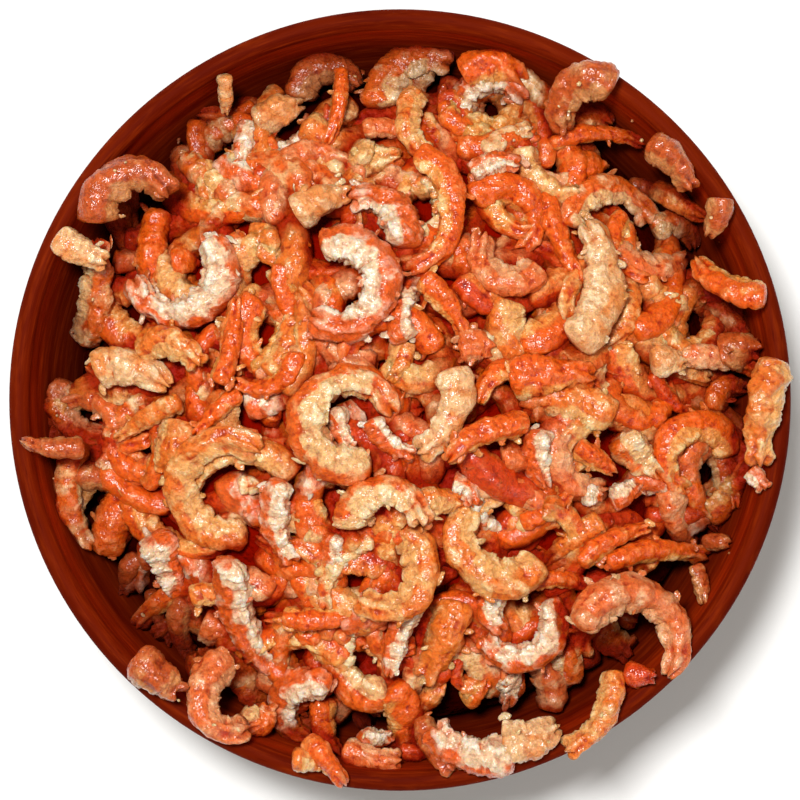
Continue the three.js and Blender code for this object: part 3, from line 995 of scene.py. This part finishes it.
def shrimp_mesh(entry, draw):
    """Points, faces and masks of one laid shrimp."""
    flat, height, outward, girth, roll, flatness, kind, steps = entry
    share = np.linspace(0, 1, SPINE_POINTS)
    finer = np.linspace(0, 1, steps[0])
    rough = np.column_stack([flat, height])
    length = np.linalg.norm(np.diff(rough, axis=0), axis=1).sum()
    borders = segment_borders(length, girth, draw)
    spine = read_between(finer, share, rough)
    chords = read_between(finer, borders, read_between(borders, share, rough))
    spine += ANGULAR * (chords - spine)
    smoothing = np.ones(5) / 5
    padded = np.pad(spine, ((2, 2), (0, 0)), mode="reflect", reflect_type="odd")
    spine = np.stack([np.convolve(column, smoothing, "valid") for column in padded.T], -1)
    out = np.column_stack([read_between(finer, share, outward), np.zeros(len(finer))])
    wander = roll + draw.uniform(-TWIST, TWIST) * (finer - 0.4)
    back = np.cos(wander)[:, None] * out + np.sin(wander)[:, None] * np.array([0, 0, 1.0])
    fan = draw.uniform(*FAN_OPEN) if draw.uniform() < FAN_SHARE else 0
    crinkle = CRINKLE[kind]
    grid, masks = shrimp_body(spine, back, girth, flatness, crinkle, fan, steps, borders, draw)
    quads, fans = tube_faces(*steps)
    # Masks of painted shade: how deep in a gap a point lies, and how deep beside the wall
    masks["deep"] = depth_in_gap(grid)
    masks["shade"] = shade_of_wall(grid)
    values = {key: tube_values(mask) for key, mask in masks.items()}
    values["own"] = np.full(len(values["along"]), draw.uniform(0, 1))
    return tube_points(grid), quads, fans, values


def outward_facing(points, quads, fans):
    """The faces, turned over if the body's signed volume is below nothing."""
    triangles = np.concatenate([quads[:, :3], quads[:, [0, 2, 3]], fans])
    a, b, c = (points[triangles[:, corner]] for corner in range(3))
    volume = (a * np.cross(b, c)).sum()
    return (quads, fans) if volume > 0 else (quads[:, ::-1], fans[:, ::-1])

# %% Join those of one look
MOST_TRIANGLES = 180000  # in one mesh


def joined(entries, draw):
    """Several shrimp as one list of points, faces and masks."""
    points, quads, fans, values, before = [], [], [], [], 0
    for entry in entries:
        own_points, own_quads, own_fans, own_values = shrimp_mesh(entry, draw)
        own_quads, own_fans = outward_facing(own_points, own_quads, own_fans)
        points.append(own_points)
        quads.append(own_quads + before)
        fans.append(own_fans + before)
        values.append(own_values)
        before += len(own_points)
    merged = {key: np.concatenate([v[key] for v in values]) for key in values[0]}
    return np.concatenate(points), np.concatenate(quads), np.concatenate(fans), merged


flesh_pieces = {}
mesh_draw = np.random.default_rng(SEED + 3)
for kind in CRINKLE:
    of_kind = [entry for entry in laid if entry[6] == kind]
    faces = np.cumsum([2 * entry[7][0] * entry[7][1] for entry in of_kind])
    parts = faces // MOST_TRIANGLES
    for part in range(parts[-1] + 1):
        entries = [entry for entry, own in zip(of_kind, parts) if own == part]
        made = piece_from(f"shrimp_{kind}_{part + 1}", *joined(entries, mesh_draw))
        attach(made, "root")
        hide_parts("shrimp_heap")
        flesh_pieces.setdefault(kind, []).append(made)

# %% [markdown]
# ## Flakes and crumbs
# Drying and handling tear thin skin from the shrimp. It clings to their edges as flakes under
# half a millimetre thick, which make the outlines ragged, and crumbs roll down to the wood. A
# coarse map of the real tops tells where an edge is: wherever the map is steep.

# %% Map of the real tops
TOP_CELL = 0.8
top_count = int(2 * REACH / TOP_CELL) + 1
top_axis = np.linspace(-REACH, REACH, top_count)
top_x, top_y = np.meshgrid(top_axis, top_axis, indexing="ij")
real_top = wall_height(np.hypot(top_x, top_y), HOLLOW_RADIUS, HOLLOW_DEPTH)
top_kind = np.full(real_top.shape, "wood", dtype=object)
for kind, pieces in flesh_pieces.items():
    before = real_top.copy()
    for piece in pieces:
        spots = np.empty(3 * len(piece.data.vertices), np.float32)
        piece.data.vertices.foreach_get("co", spots)
        spots = spots.reshape(-1, 3) / MM
        place = np.rint((spots[:, :2] + REACH) / TOP_CELL).astype(int)
        np.maximum.at(real_top, (place[:, 0], place[:, 1]), spots[:, 2])
    top_kind[real_top > before] = kind
slope_x, slope_y = np.gradient(real_top, TOP_CELL)
print(f"real top {real_top.max():.1f} mm")

# %% Small closed bodies in one array
BIT_STEPS = (8, 8)
BIT_ROUGH = (0.65, 1.3)
BIT_BEND = 0.35  # of the half length


def small_bodies(middles, lengthwise, upwards, sizes, draw):
    """Many small bodies at once, as grids of rings. Each is an ellipse carried along its length
    by the square root of one less the square of the share, bent, and roughened by a drawn
    share at every point. sizes are half length, half width and half thickness."""
    count = len(middles)
    lengthwise = lengthwise / np.linalg.norm(lengthwise, axis=1, keepdims=True)
    sideways = np.cross(upwards, lengthwise)
    sideways /= np.linalg.norm(sideways, axis=1, keepdims=True)
    over = np.cross(lengthwise, sideways)
    share = np.linspace(-1, 1, BIT_STEPS[0])[:, None]
    turn = np.linspace(0, 2 * math.pi, BIT_STEPS[1], endpoint=False)[None, :]
    full = np.sqrt(np.clip(1 - share * share, 0, 1))
    shape = np.stack([share + 0 * turn, full * np.cos(turn), full * np.sin(turn)], -1)
    rough = draw.uniform(*BIT_ROUGH, (count, *BIT_STEPS, 3))
    rough[:, :, :, 0] = 1
    scaled = shape[None] * rough * sizes[:, None, None, :]
    bend = draw.uniform(-BIT_BEND, BIT_BEND, count) * sizes[:, 0]
    scaled[..., 2] += bend[:, None, None] * shape[None, ..., 0] ** 2
    axes = np.stack([lengthwise, sideways, over], 1)
    return middles[:, None, None, :] + np.einsum("nuvk,nkx->nuvx", scaled, axes)


def piece_of_bits(name, grids, belly, draw):
    """One mesh from the grids of many small bodies, with the masks that flesh needs."""
    quads, fans = tube_faces(*BIT_STEPS)
    points = np.stack([tube_points(grid) for grid in grids])
    step = points.shape[1]
    quads, fans = outward_facing(points[0], quads, fans)
    before = np.arange(len(grids))[:, None, None] * step
    own = np.repeat(draw.uniform(0, 1, len(grids)), step)
    points = points.reshape(-1, 3)
    values = {
        "belly": np.full(len(points), belly),
        "relief": np.full(len(points), 0.6),
        "along": np.zeros(len(points)),
        "plate": own,
        "ring": own,
        # masks of painted shade, in gaps and beside the wall
        "deep": depth_in_gap(points),
        "shade": shade_of_wall(points),
        "own": own,
    }
    quads = (quads[None] + before).reshape(-1, 4)
    fans = (fans[None] + before).reshape(-1, 3)
    made = piece_from(name, points, quads, fans, values)
    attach(made, "root")
    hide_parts("shrimp_heap")
    return made

# %% Flakes along the edges
FLAKE_COUNT = 300
FLAKE_REACH = 68.0
EDGE_DROP = 1.2  # mm over one cell
FLAKE_SUNK = 0.45  # how far a flake's middle lies under the top
FLAKE_UNDER_DOME = 5.0  # mm: no flakes lie lower
FLAKE_SKEW = 1.3  # most radians between a flake and the way downhill
FLAKE_SIZES = ([0.8, 0.4, 0.06], [1.8, 0.9, 0.12])  # least and most half sizes
FLAKE_BELLY = 0.2  # how much a flake has the belly's colour, where a crumb has all of it

bit_draw = np.random.default_rng(SEED + 4)
steep = np.hypot(slope_x, slope_y) * TOP_CELL > EDGE_DROP
near = np.hypot(top_x, top_y) < FLAKE_REACH
high_side = real_top > mound_height(np.hypot(top_x, top_y)) - FLAKE_UNDER_DOME
edge_cells = np.argwhere(steep & near & high_side)
chosen = edge_cells[bit_draw.choice(len(edge_cells), FLAKE_COUNT, replace=False)]
for kind in CRINKLE:
    own = chosen[top_kind[chosen[:, 0], chosen[:, 1]] == kind]
    count = len(own)
    at = (own[:, 0], own[:, 1])
    downhill = -np.stack([slope_x[at], slope_y[at]], -1)
    downhill /= np.linalg.norm(downhill, axis=1, keepdims=True)
    skew = bit_draw.uniform(-FLAKE_SKEW, FLAKE_SKEW, count)
    ahead = np.column_stack([
        downhill[:, 0] * np.cos(skew) - downhill[:, 1] * np.sin(skew),
        downhill[:, 0] * np.sin(skew) + downhill[:, 1] * np.cos(skew),
        bit_draw.uniform(-0.3, 0.4, count),
    ])
    sizes = bit_draw.uniform(*FLAKE_SIZES, (count, 3))
    middles = np.column_stack([top_x[at], top_y[at], real_top[at] - FLAKE_SUNK])
    tilted = np.column_stack([bit_draw.normal(0, 0.4, (count, 2)), np.ones(count)])
    grids = small_bodies(middles, ahead, tilted, sizes, bit_draw)
    flakes = piece_of_bits(f"flakes_{kind}", grids, FLAKE_BELLY, bit_draw)
    flesh_pieces[kind].append(flakes)

# %% Crumbs on the wood
CRUMBS = [  # place and size in pixels of the photo
    (255, 746, 4), (175, 705, 4), (508, 48, 4), (645, 105, 4), (690, 775, 3), (560, 772, 4),
    (90, 300, 3), (600, 715, 5), (740, 560, 4), (650, 735, 3), (130, 168, 3), (205, 740, 4),
]
CRUMB_DEPTH = 4.0  # mm under the rim
SEEDED_CRUMBS = 26
CRUMB_RING = (66, 73)  # distance from the axis
CRUMB_SIZES = (0.2, 0.5)
CRUMB_SHAPES = ([0.9, 0.6, 0.5], [1.5, 1.0, 0.8])  # least and most, as shares of the size
CRUMB_LIFT = 0.6  # how high a crumb's middle lies, as a share of its size
CRUMB_GAP = 0.6  # mm from a crumb's middle to the edge of the hollow

crumb_places = [sight(from_photo(x, y), BOWL_HEIGHT - CRUMB_DEPTH) for x, y, _ in CRUMBS]
crumb_sizes = [size / PIXELS_PER_MM / 2 for _, _, size in CRUMBS]
for turn in bit_draw.uniform(0, 2 * math.pi, SEEDED_CRUMBS):
    radius = bit_draw.uniform(*CRUMB_RING)
    crumb_places.append(radius * np.array([math.cos(turn), math.sin(turn)]))
    crumb_sizes.append(bit_draw.uniform(*CRUMB_SIZES))
crumb_places, crumb_sizes = np.array(crumb_places), np.array(crumb_sizes)
crumb_radius = np.linalg.norm(crumb_places, axis=1)
crumb_places = crumb_places * np.minimum(1, (HOLLOW_RADIUS - CRUMB_GAP) / crumb_radius)[:, None]
crumb_cell = np.rint((crumb_places + REACH) / CELL).astype(int)
crumb_ground = heap_top[crumb_cell[:, 0], crumb_cell[:, 1]] + CRUMB_LIFT * crumb_sizes
crumb_middles = np.column_stack([crumb_places, crumb_ground])
crumb_count = len(crumb_sizes)
crumb_shape = bit_draw.uniform(*CRUMB_SHAPES, (crumb_count, 3)) * crumb_sizes[:, None]
crumb_ahead = np.column_stack([bit_draw.normal(size=(crumb_count, 2)), np.zeros(crumb_count)])
upright = np.tile([0.0, 0.0, 1.0], (crumb_count, 1))
crumb_grids = small_bodies(crumb_middles, crumb_ahead, upright, crumb_shape, bit_draw)
flesh_pieces["cream"].append(piece_of_bits("crumbs", crumb_grids, 1.0, bit_draw))

# %% [markdown]
# ## The flesh
# Dried shrimp is orange on the back and cream on the belly, with a blotched border. Its furrows
# hold a deeper red, partly its own and partly painted shade, and its crests are pale, partly from
# drying and partly a painted highlight. One node group mixes these from the masks that the meshes
# carry, and each look of flesh gives it its own four colours.

# %% Node helpers
def give(tree, node, inputs):
    """Links or sets a node's named or numbered inputs, each to a socket or to a value."""
    for key, given in inputs.items():
        if isinstance(given, bpy.types.NodeSocket):
            tree.links.new(given, node.inputs[key])
        else:
            node.inputs[key].default_value = given


def add_node(tree, kind, inputs=None, **settings):
    """A shader node with its settings and inputs."""
    made = tree.nodes.new(kind)
    for key, value in settings.items():
        setattr(made, key, value)
    give(tree, made, inputs or {})
    return made


def math_node(tree, operation, *given):
    """Numbers or sockets put together by one operation."""
    made = add_node(tree, "ShaderNodeMath", dict(enumerate(given)), operation=operation)
    return made.outputs[0]


def with_added(tree, total, parts):
    """A number plus each part times its weight."""
    for part, weight in parts:
        total = math_node(tree, "ADD", total, math_node(tree, "MULTIPLY", part, weight))
    return total


def vector_node(tree, operation, inputs):
    """Vectors put together by one operation, as the node's outputs."""
    return add_node(tree, "ShaderNodeVectorMath", inputs, operation=operation).outputs


def mix_colour(tree, factor, first, second, blend="MIX"):
    """Two colours mixed by a factor. Each may be a socket or a value."""
    inputs = {0: factor, 6: first, 7: second}
    return add_node(tree, "ShaderNodeMix", inputs, data_type="RGBA", blend_type=blend).outputs[2]


def ramp_between(tree, value, low, high):
    """A number brought to 0 at low and 1 at high, with a soft rise between."""
    inputs = {0: value, 1: low, 2: high}
    made = add_node(tree, "ShaderNodeMapRange", inputs, interpolation_type="SMOOTHSTEP")
    return made.outputs[0]


def noise_on(tree, vector, scale, detail, roughness):
    """A noise texture's value on some coordinates."""
    inputs = {"Vector": vector, "Scale": scale, "Detail": detail, "Roughness": roughness}
    return add_node(tree, "ShaderNodeTexNoise", inputs).outputs["Fac"]


def bump_from(tree, height, strength, distance):
    """The normal of a surface with this relief."""
    inputs = {"Height": height, "Strength": strength, "Distance": distance}
    return add_node(tree, "ShaderNodeBump", inputs).outputs["Normal"]


def mask_of(tree, name):
    """A mask that the mesh carries."""
    return add_node(tree, "ShaderNodeAttribute", attribute_name=name).outputs["Fac"]


def place_on(tree):
    """A point's own place on the object, in metres."""
    return add_node(tree, "ShaderNodeTexCoord").outputs["Object"]


def new_material(name):
    """A material, its tree, and its Principled BSDF."""
    made = bpy.data.materials.new(name)
    made.use_nodes = True
    return made, made.node_tree, made.node_tree.nodes["Principled BSDF"]

# %% [markdown]
# Three noises of falling size give blotches, flecks and fibres, and one more roughens the film
# that shines on top. What is pale is the sum of the belly's mask and these, each with a weight.
# Low places turn to the furrow's colour, partly painted shade in the creases, and high ones to the
# crest's, partly a painted highlight. Flesh deep in a gap gets painted shade: as if it only got
# light that has met other flesh, its colour is multiplied by that of the gap, and it loses its
# shine. Flesh deep beside the wall gets painted shade too.

# %% The flesh group
BLOTCHES = (240, 1.5, 0.5)  # scale, detail and roughness of a noise
FLECKS = (900, 5.0, 0.68)
FIBRES = (2600, 3.0, 0.6)
FILM = (1100, 2.0, 0.6)
CRUMBLE_SCALE = 950
FLESH_COLOURS = ("Back", "Belly", "Furrow", "Crest")
FLESH_RESULTS = ("Roughness", "Height", "Film Height", "Gloss")
GAP_SHADE_TINT = (0.5, 0.12, 0.01, 1.0)  # painted shade: what light from gap to gap leaves of a colour
WALL_SHADE_RED = (96, 26, 5)  # painted shade on flesh deep beside the wall
PALE_BETWEEN = (1.2, 2.1)  # where the sum of masks turns from the back's colour to the belly's
LOW_BETWEEN = (0.12, 0.44)  # relief with all of the furrow's colour, and with none
CREST_BETWEEN = (0.5, 0.78)  # relief with none of the crest's colour, and with all
TAIL_BETWEEN = (0.82, 1.0)  # shares of the length
DEEPEST_FROM = 0.8  # share of the depth in a gap where its painted shade is full
FURROWS_SHOW = (-0.45, 0.85)  # change from the back to the palest belly, and share on the back
CRESTS_SHOW = 0.75
TAIL_SHOWS = 0.35


def flesh_group():
    """Colour, roughness, gloss and relief height of dried flesh."""
    tree = bpy.data.node_groups.new("dried_flesh", "ShaderNodeTree")
    for name in FLESH_COLOURS:
        tree.interface.new_socket(name, in_out="INPUT", socket_type="NodeSocketColor")
    tree.interface.new_socket("Paleness", in_out="INPUT", socket_type="NodeSocketFloat")
    tree.interface.new_socket("Color", in_out="OUTPUT", socket_type="NodeSocketColor")
    for name in FLESH_RESULTS:
        tree.interface.new_socket(name, in_out="OUTPUT", socket_type="NodeSocketFloat")
    given = add_node(tree, "NodeGroupInput").outputs
    place = place_on(tree)
    blotch = noise_on(tree, place, *BLOTCHES)
    fleck = noise_on(tree, place, *FLECKS)
    fibre = noise_on(tree, place, *FIBRES)
    crumble_inputs = {"Vector": place, "Scale": CRUMBLE_SCALE}
    crumble = add_node(tree, "ShaderNodeTexVoronoi", crumble_inputs).outputs["Distance"]

    pale = math_node(tree, "MULTIPLY", mask_of(tree, "belly"), 1.2)
    pale = math_node(tree, "ADD", pale, given["Paleness"])
    plate = math_node(tree, "SUBTRACT", mask_of(tree, "plate"), 0.5)
    # The segments' bulges are paler, partly a painted highlight.
    ring = math_node(tree, "SUBTRACT", mask_of(tree, "ring"), 0.7)
    own = mask_of(tree, "own")
    weights = [(blotch, 1.4), (fleck, 0.3), (plate, 0.7), (ring, 0.6), (own, 0.4)]
    pale = ramp_between(tree, with_added(tree, pale, weights), *PALE_BETWEEN)
    colour = mix_colour(tree, pale, given["Back"], given["Belly"])

    relief = with_added(tree, mask_of(tree, "relief"), [(fleck, 0.55)])
    relief = math_node(tree, "SUBTRACT", relief, 0.275)
    # Painted shade in the creases and a painted highlight on the crests, partly the flesh's own
    # deeper red and dry pale.
    low = math_node(tree, "SUBTRACT", 1.0, ramp_between(tree, relief, *LOW_BETWEEN))
    low = math_node(tree, "MULTIPLY", low, math_node(tree, "MULTIPLY_ADD", pale, *FURROWS_SHOW))
    crest = ramp_between(tree, relief, *CREST_BETWEEN)
    crest = math_node(tree, "MULTIPLY", crest, math_node(tree, "ADD", pale, 0.3))
    crest = math_node(tree, "MULTIPLY", crest, CRESTS_SHOW)
    tail = ramp_between(tree, mask_of(tree, "along"), *TAIL_BETWEEN)
    tail = math_node(tree, "MULTIPLY", tail, TAIL_SHOWS)
    colour = mix_colour(tree, low, colour, given["Furrow"])
    colour = mix_colour(tree, crest, colour, given["Crest"])
    colour = mix_colour(tree, tail, colour, given["Back"])

    # Painted shade: flesh deep in a gap is multiplied by a dark red tint, and flesh deep beside
    # the wall is mixed towards a dark red; both lose their shine.
    deep = ramp_between(tree, mask_of(tree, "deep"), 0.0, DEEPEST_FROM)
    shade = mask_of(tree, "shade")
    painted_gap_shade = mix_colour(tree, 1.0, colour, GAP_SHADE_TINT, "MULTIPLY")
    colour = mix_colour(tree, deep, colour, painted_gap_shade)
    colour = mix_colour(tree, shade, colour, paint(*WALL_SHADE_RED))
    mottle = math_node(tree, "MULTIPLY_ADD", fibre, 0.7, 0.65)
    shallow = math_node(tree, "SUBTRACT", 1.0, deep)
    gloss = math_node(tree, "MULTIPLY", shallow, shallow)

    paper = math_node(tree, "ABSOLUTE", math_node(tree, "SUBTRACT", fleck, 0.5))
    knob = math_node(tree, "MULTIPLY", math_node(tree, "ADD", pale, 0.25), crumble)
    give(tree, add_node(tree, "NodeGroupOutput"), {
        "Color": vector_node(tree, "SCALE", {0: colour, "Scale": mottle})[0],
        "Roughness": math_node(tree, "MULTIPLY_ADD", fleck, 0.6, 0.15),
        "Height": with_added(tree, fleck, [(fibre, 0.25), (paper, -1.6), (knob, -0.35)]),
        "Film Height": noise_on(tree, place, *FILM),
        "Gloss": math_node(tree, "MULTIPLY", gloss, math_node(tree, "SUBTRACT", 1.0, shade)),
    })
    return tree


dried_flesh = flesh_group()

# %% One material for each look
FLESH = {  # the four colours, then how far the pale ones spread
    "pink": ((231, 108, 48), (237, 155, 102), (186, 42, 6), (245, 189, 142), 0.2),
    "red": ((212, 66, 10), (230, 116, 46), (150, 20, 0), (240, 158, 90), -0.35),
    "orange": ((236, 96, 20), (242, 149, 70), (184, 34, 0), (250, 198, 132), -0.15),
    "tan": ((235, 118, 40), (239, 167, 96), (190, 50, 4), (249, 206, 148), 0.25),
    "cream": ((235, 102, 28), (242, 185, 122), (196, 62, 8), (251, 216, 168), 0.25),
    "white": ((234, 98, 32), (244, 202, 160), (204, 80, 26), (252, 228, 202), 0.15),
    "pale": ((236, 146, 78), (241, 184, 128), (206, 84, 24), (250, 214, 170), 0.5),
    # This darker look is a copy of the flesh for shrimp that lie in shade beside the wall: painted
    # shade.
    "dull": ((198, 86, 32), (208, 132, 76), (140, 38, 6), (222, 158, 104), 0.15),
}
WAXY = {  # light goes a little way in, the red furthest, and the film shines
    "Subsurface Weight": 0.4,
    "Subsurface Radius": (1.0, 0.42, 0.18),
    "Subsurface Scale": 0.0016,
    "Specular IOR Level": 0.12,
    "Coat Roughness": 0.18,
}
FLESH_BUMP = (0.9, 0.0008)  # strength, and distance in metres
FILM_BUMP = (0.7, 0.0005)


def flesh_material(kind):
    """Flesh of one look: waxy and a little see-through."""
    made, tree, skin = new_material(f"flesh_{kind}")
    *colours, paleness = FLESH[kind]
    inputs = {name: paint(*value) for name, value in zip(FLESH_COLOURS, colours)}
    inputs["Paleness"] = paleness
    flesh = add_node(tree, "ShaderNodeGroup", node_tree=dried_flesh)
    give(tree, flesh, inputs)
    give(tree, skin, WAXY)
    give(tree, skin, {
        "Base Color": flesh.outputs["Color"],
        "Roughness": flesh.outputs["Roughness"],
        "Normal": bump_from(tree, flesh.outputs["Height"], *FLESH_BUMP),
        "Coat Weight": flesh.outputs["Gloss"],
        "Coat Normal": bump_from(tree, flesh.outputs["Film Height"], *FILM_BUMP),
    })
    return made


for kind, pieces in flesh_pieces.items():
    material = flesh_material(kind)
    for piece in pieces:
        piece.data.materials.append(material)
print(f"{len(flesh_pieces)} looks of flesh")

# %% The core's colour is painted shade
# Painted shade: the core's dark red, and the near black that it turns beside the wall.
CORE_RED = (124, 18, 2)
CORE_DARK = (44, 9, 3)
CORE_NOISE = (350, 3.0, 0.55)
CORE_BUMP = (1.0, 0.002)

core_skin, core_tree, core_shader = new_material("painted_shade_core")
core_mask = mask_of(core_tree, "shade")
core_noise = noise_on(core_tree, place_on(core_tree), *CORE_NOISE)
give(core_tree, core_shader, {
    "Base Color": mix_colour(core_tree, core_mask, paint(*CORE_RED), paint(*CORE_DARK)),
    "Roughness": 1.0,
    "Specular IOR Level": 0.0,
    "Normal": bump_from(core_tree, core_noise, *CORE_BUMP),
})
core.data.materials.append(core_skin)

# %% [markdown]
# ## The wood
# The photo shows fine streaks that follow the rim, with short dark pores among them. They are
# noise on coordinates that run slowly round the bowl and fast outwards and upwards. The wall has
# painted shade that makes it near black beside the shrimp, and painted light that makes it paler
# towards the lip. Both follow from the height in the bowl.

# %% Streaks along the rim
GRAIN_LENGTH = 0.006


def flattened(tree, place):
    """A place with its height left out."""
    return vector_node(tree, "MULTIPLY", {0: place, 1: (1.0, 1.0, 0.0)})[0]


def height_of(tree, place):
    """A place's height."""
    return add_node(tree, "ShaderNodeSeparateXYZ", {0: place}).outputs["Z"]


def along_the_rim(tree, place):
    """Coordinates that run fast outwards and upwards and slowly round the bowl: the direction
    from the axis times GRAIN_LENGTH, and the distance from it plus the height."""
    flat = flattened(tree, place)
    outwards = vector_node(tree, "NORMALIZE", {0: flat})[0]
    slow = vector_node(tree, "SCALE", {0: outwards, "Scale": GRAIN_LENGTH})[0]
    distance = vector_node(tree, "LENGTH", {0: flat})["Value"]
    total = math_node(tree, "ADD", distance, height_of(tree, place))
    fast = add_node(tree, "ShaderNodeCombineXYZ", {"Z": total}).outputs[0]
    return vector_node(tree, "ADD", {0: slow, 1: fast})[0]

# %% Painted light and shade on the wall
WALL_LIGHT = 2.6  # painted light: how much lighter the wood is at the top of the wall
WALL_LIT = (37, 46, 46)  # heights in mm: from where, to where, and where the lip begins
LIP_DIMMED = 0.95  # how much of that painted light the lip loses
WALL_SHADE = (26, 38)  # heights in mm: where the painted shade is darkest, and where it ends
# how much light the painted shade leaves at its darkest
DARKEST = 0.22


def wall_brightness(tree, place):
    """How light the wood is at a place: painted light at the top of the wall, painted shade deep
    inside, and plain outside."""
    height = height_of(tree, place)
    wall = ramp_between(tree, height, WALL_LIT[0] * MM, WALL_LIT[1] * MM)
    lip = ramp_between(tree, height, WALL_LIT[2] * MM, BOWL_HEIGHT * MM)
    painted_light = math_node(tree, "SUBTRACT", wall, math_node(tree, "MULTIPLY", lip, LIP_DIMMED))
    lighter = math_node(tree, "MULTIPLY_ADD", painted_light, WALL_LIGHT - 1, 1.0)
    high = ramp_between(tree, height, WALL_SHADE[0] * MM, WALL_SHADE[1] * MM)
    radius = vector_node(tree, "LENGTH", {0: flattened(tree, place)})["Value"]
    outside = ramp_between(tree, radius, HOLLOW_RADIUS * MM, RIM_RADIUS * MM)
    open_to_light = math_node(tree, "MAXIMUM", high, outside)
    dimmer = math_node(tree, "MULTIPLY_ADD", open_to_light, 1 - DARKEST, DARKEST)
    return math_node(tree, "MULTIPLY", lighter, dimmer)

# %% Wood material
WOOD_DARK = (72, 15, 3)
WOOD_MIDDLE = (102, 30, 9)
WOOD_PALE = (130, 46, 14)
BROAD_STREAKS = (170, 4.0, 0.6)  # scale, detail and roughness of a noise
NARROW_STREAKS = (1100, 4.0, 0.65)
PORES = (2400, 2.0, 0.5)
STREAKS_SHOW = 0.55
PORES_SHOW = 0.6
WOOD_BUMP = (0.3, 0.0002)


def wood_material():
    """Dark reddish wood: two widths of streaks mix three browns, and pores darken them."""
    made, tree, skin = new_material("dark_red_wood")
    place = place_on(tree)
    grain = along_the_rim(tree, place)
    broad = noise_on(tree, grain, *BROAD_STREAKS)
    narrow = noise_on(tree, grain, *NARROW_STREAKS)
    pores = noise_on(tree, grain, *PORES)
    broad = ramp_between(tree, broad, 0.3, 0.7)
    streaks = math_node(tree, "MULTIPLY", ramp_between(tree, narrow, 0.45, 0.75), STREAKS_SHOW)
    dark = math_node(tree, "MULTIPLY", ramp_between(tree, pores, 0.6, 0.75), PORES_SHOW)
    colour = mix_colour(tree, broad, paint(*WOOD_DARK), paint(*WOOD_MIDDLE))
    colour = mix_colour(tree, streaks, colour, paint(*WOOD_PALE))
    colour = mix_colour(tree, dark, colour, paint(*WOOD_DARK))
    # Painted light at the top of the wall and painted shade deep inside, by the height in the
    # bowl.
    brightness = wall_brightness(tree, place)
    give(tree, skin, {
        "Base Color": vector_node(tree, "SCALE", {0: colour, "Scale": brightness})[0],
        "Roughness": math_node(tree, "MULTIPLY_ADD", narrow, 0.3, 0.5),
        "Specular IOR Level": 0.02,
        "Normal": bump_from(tree, narrow, *WOOD_BUMP),
    })
    return made


bowl.data.materials.append(wood_material())

# %% [markdown]
# ## The room
# A plain pale floor, and light as in the photo: a small bright one almost overhead gives crisp
# edges and glints, a broad dim one from the front softens them, and a dim pale sky fills in.
# Dried food looks crisp when the gaps go dark, so the sky stays weak.

# %% Floor
FLOOR_SIZE = 8.0
FLOOR_COLOUR = (248, 248, 246)

corner = FLOOR_SIZE / 2
corners = [(-corner, -corner, 0), (corner, -corner, 0), (corner, corner, 0), (-corner, corner, 0)]
floor_mesh = bpy.data.meshes.new("floor")
floor_mesh.from_pydata(corners, [], [(0, 1, 2, 3)])
floor = bpy.data.objects.new("floor", floor_mesh)
bpy.context.scene.collection.objects.link(floor)
floor_paint, floor_tree, floor_shader = new_material("floor_paint")
give(floor_tree, floor_shader, {"Base Color": paint(*FLOOR_COLOUR), "Roughness": 0.9})
floor_mesh.materials.append(floor_paint)

# %% Lights
LIGHTS = {  # place and width in metres, and power in watts
    "key": ((-0.09, 0.12, 0.65), 0.1, 4.4),
    "fill": ((0.35, -0.4, 0.55), 0.6, 1.1),
}
SKY_COLOUR = (255, 244, 232)
SKY_STRENGTH = 0.24

for name, (place, width, power) in LIGHTS.items():
    light = bpy.data.objects.new(name, bpy.data.lights.new(name, "AREA"))
    light.data.size = width
    light.data.energy = power
    light.location = place
    light.rotation_euler = (-light.location).to_track_quat("-Z", "Y").to_euler()
    bpy.context.scene.collection.objects.link(light)
world = bpy.data.worlds.new("room")
world.use_nodes = True
sky = {"Color": paint(*SKY_COLOUR), "Strength": SKY_STRENGTH}
give(world.node_tree, world.node_tree.nodes["Background"], sky)
bpy.context.scene.world = world
bpy.context.scene.view_settings.view_transform = "Standard"
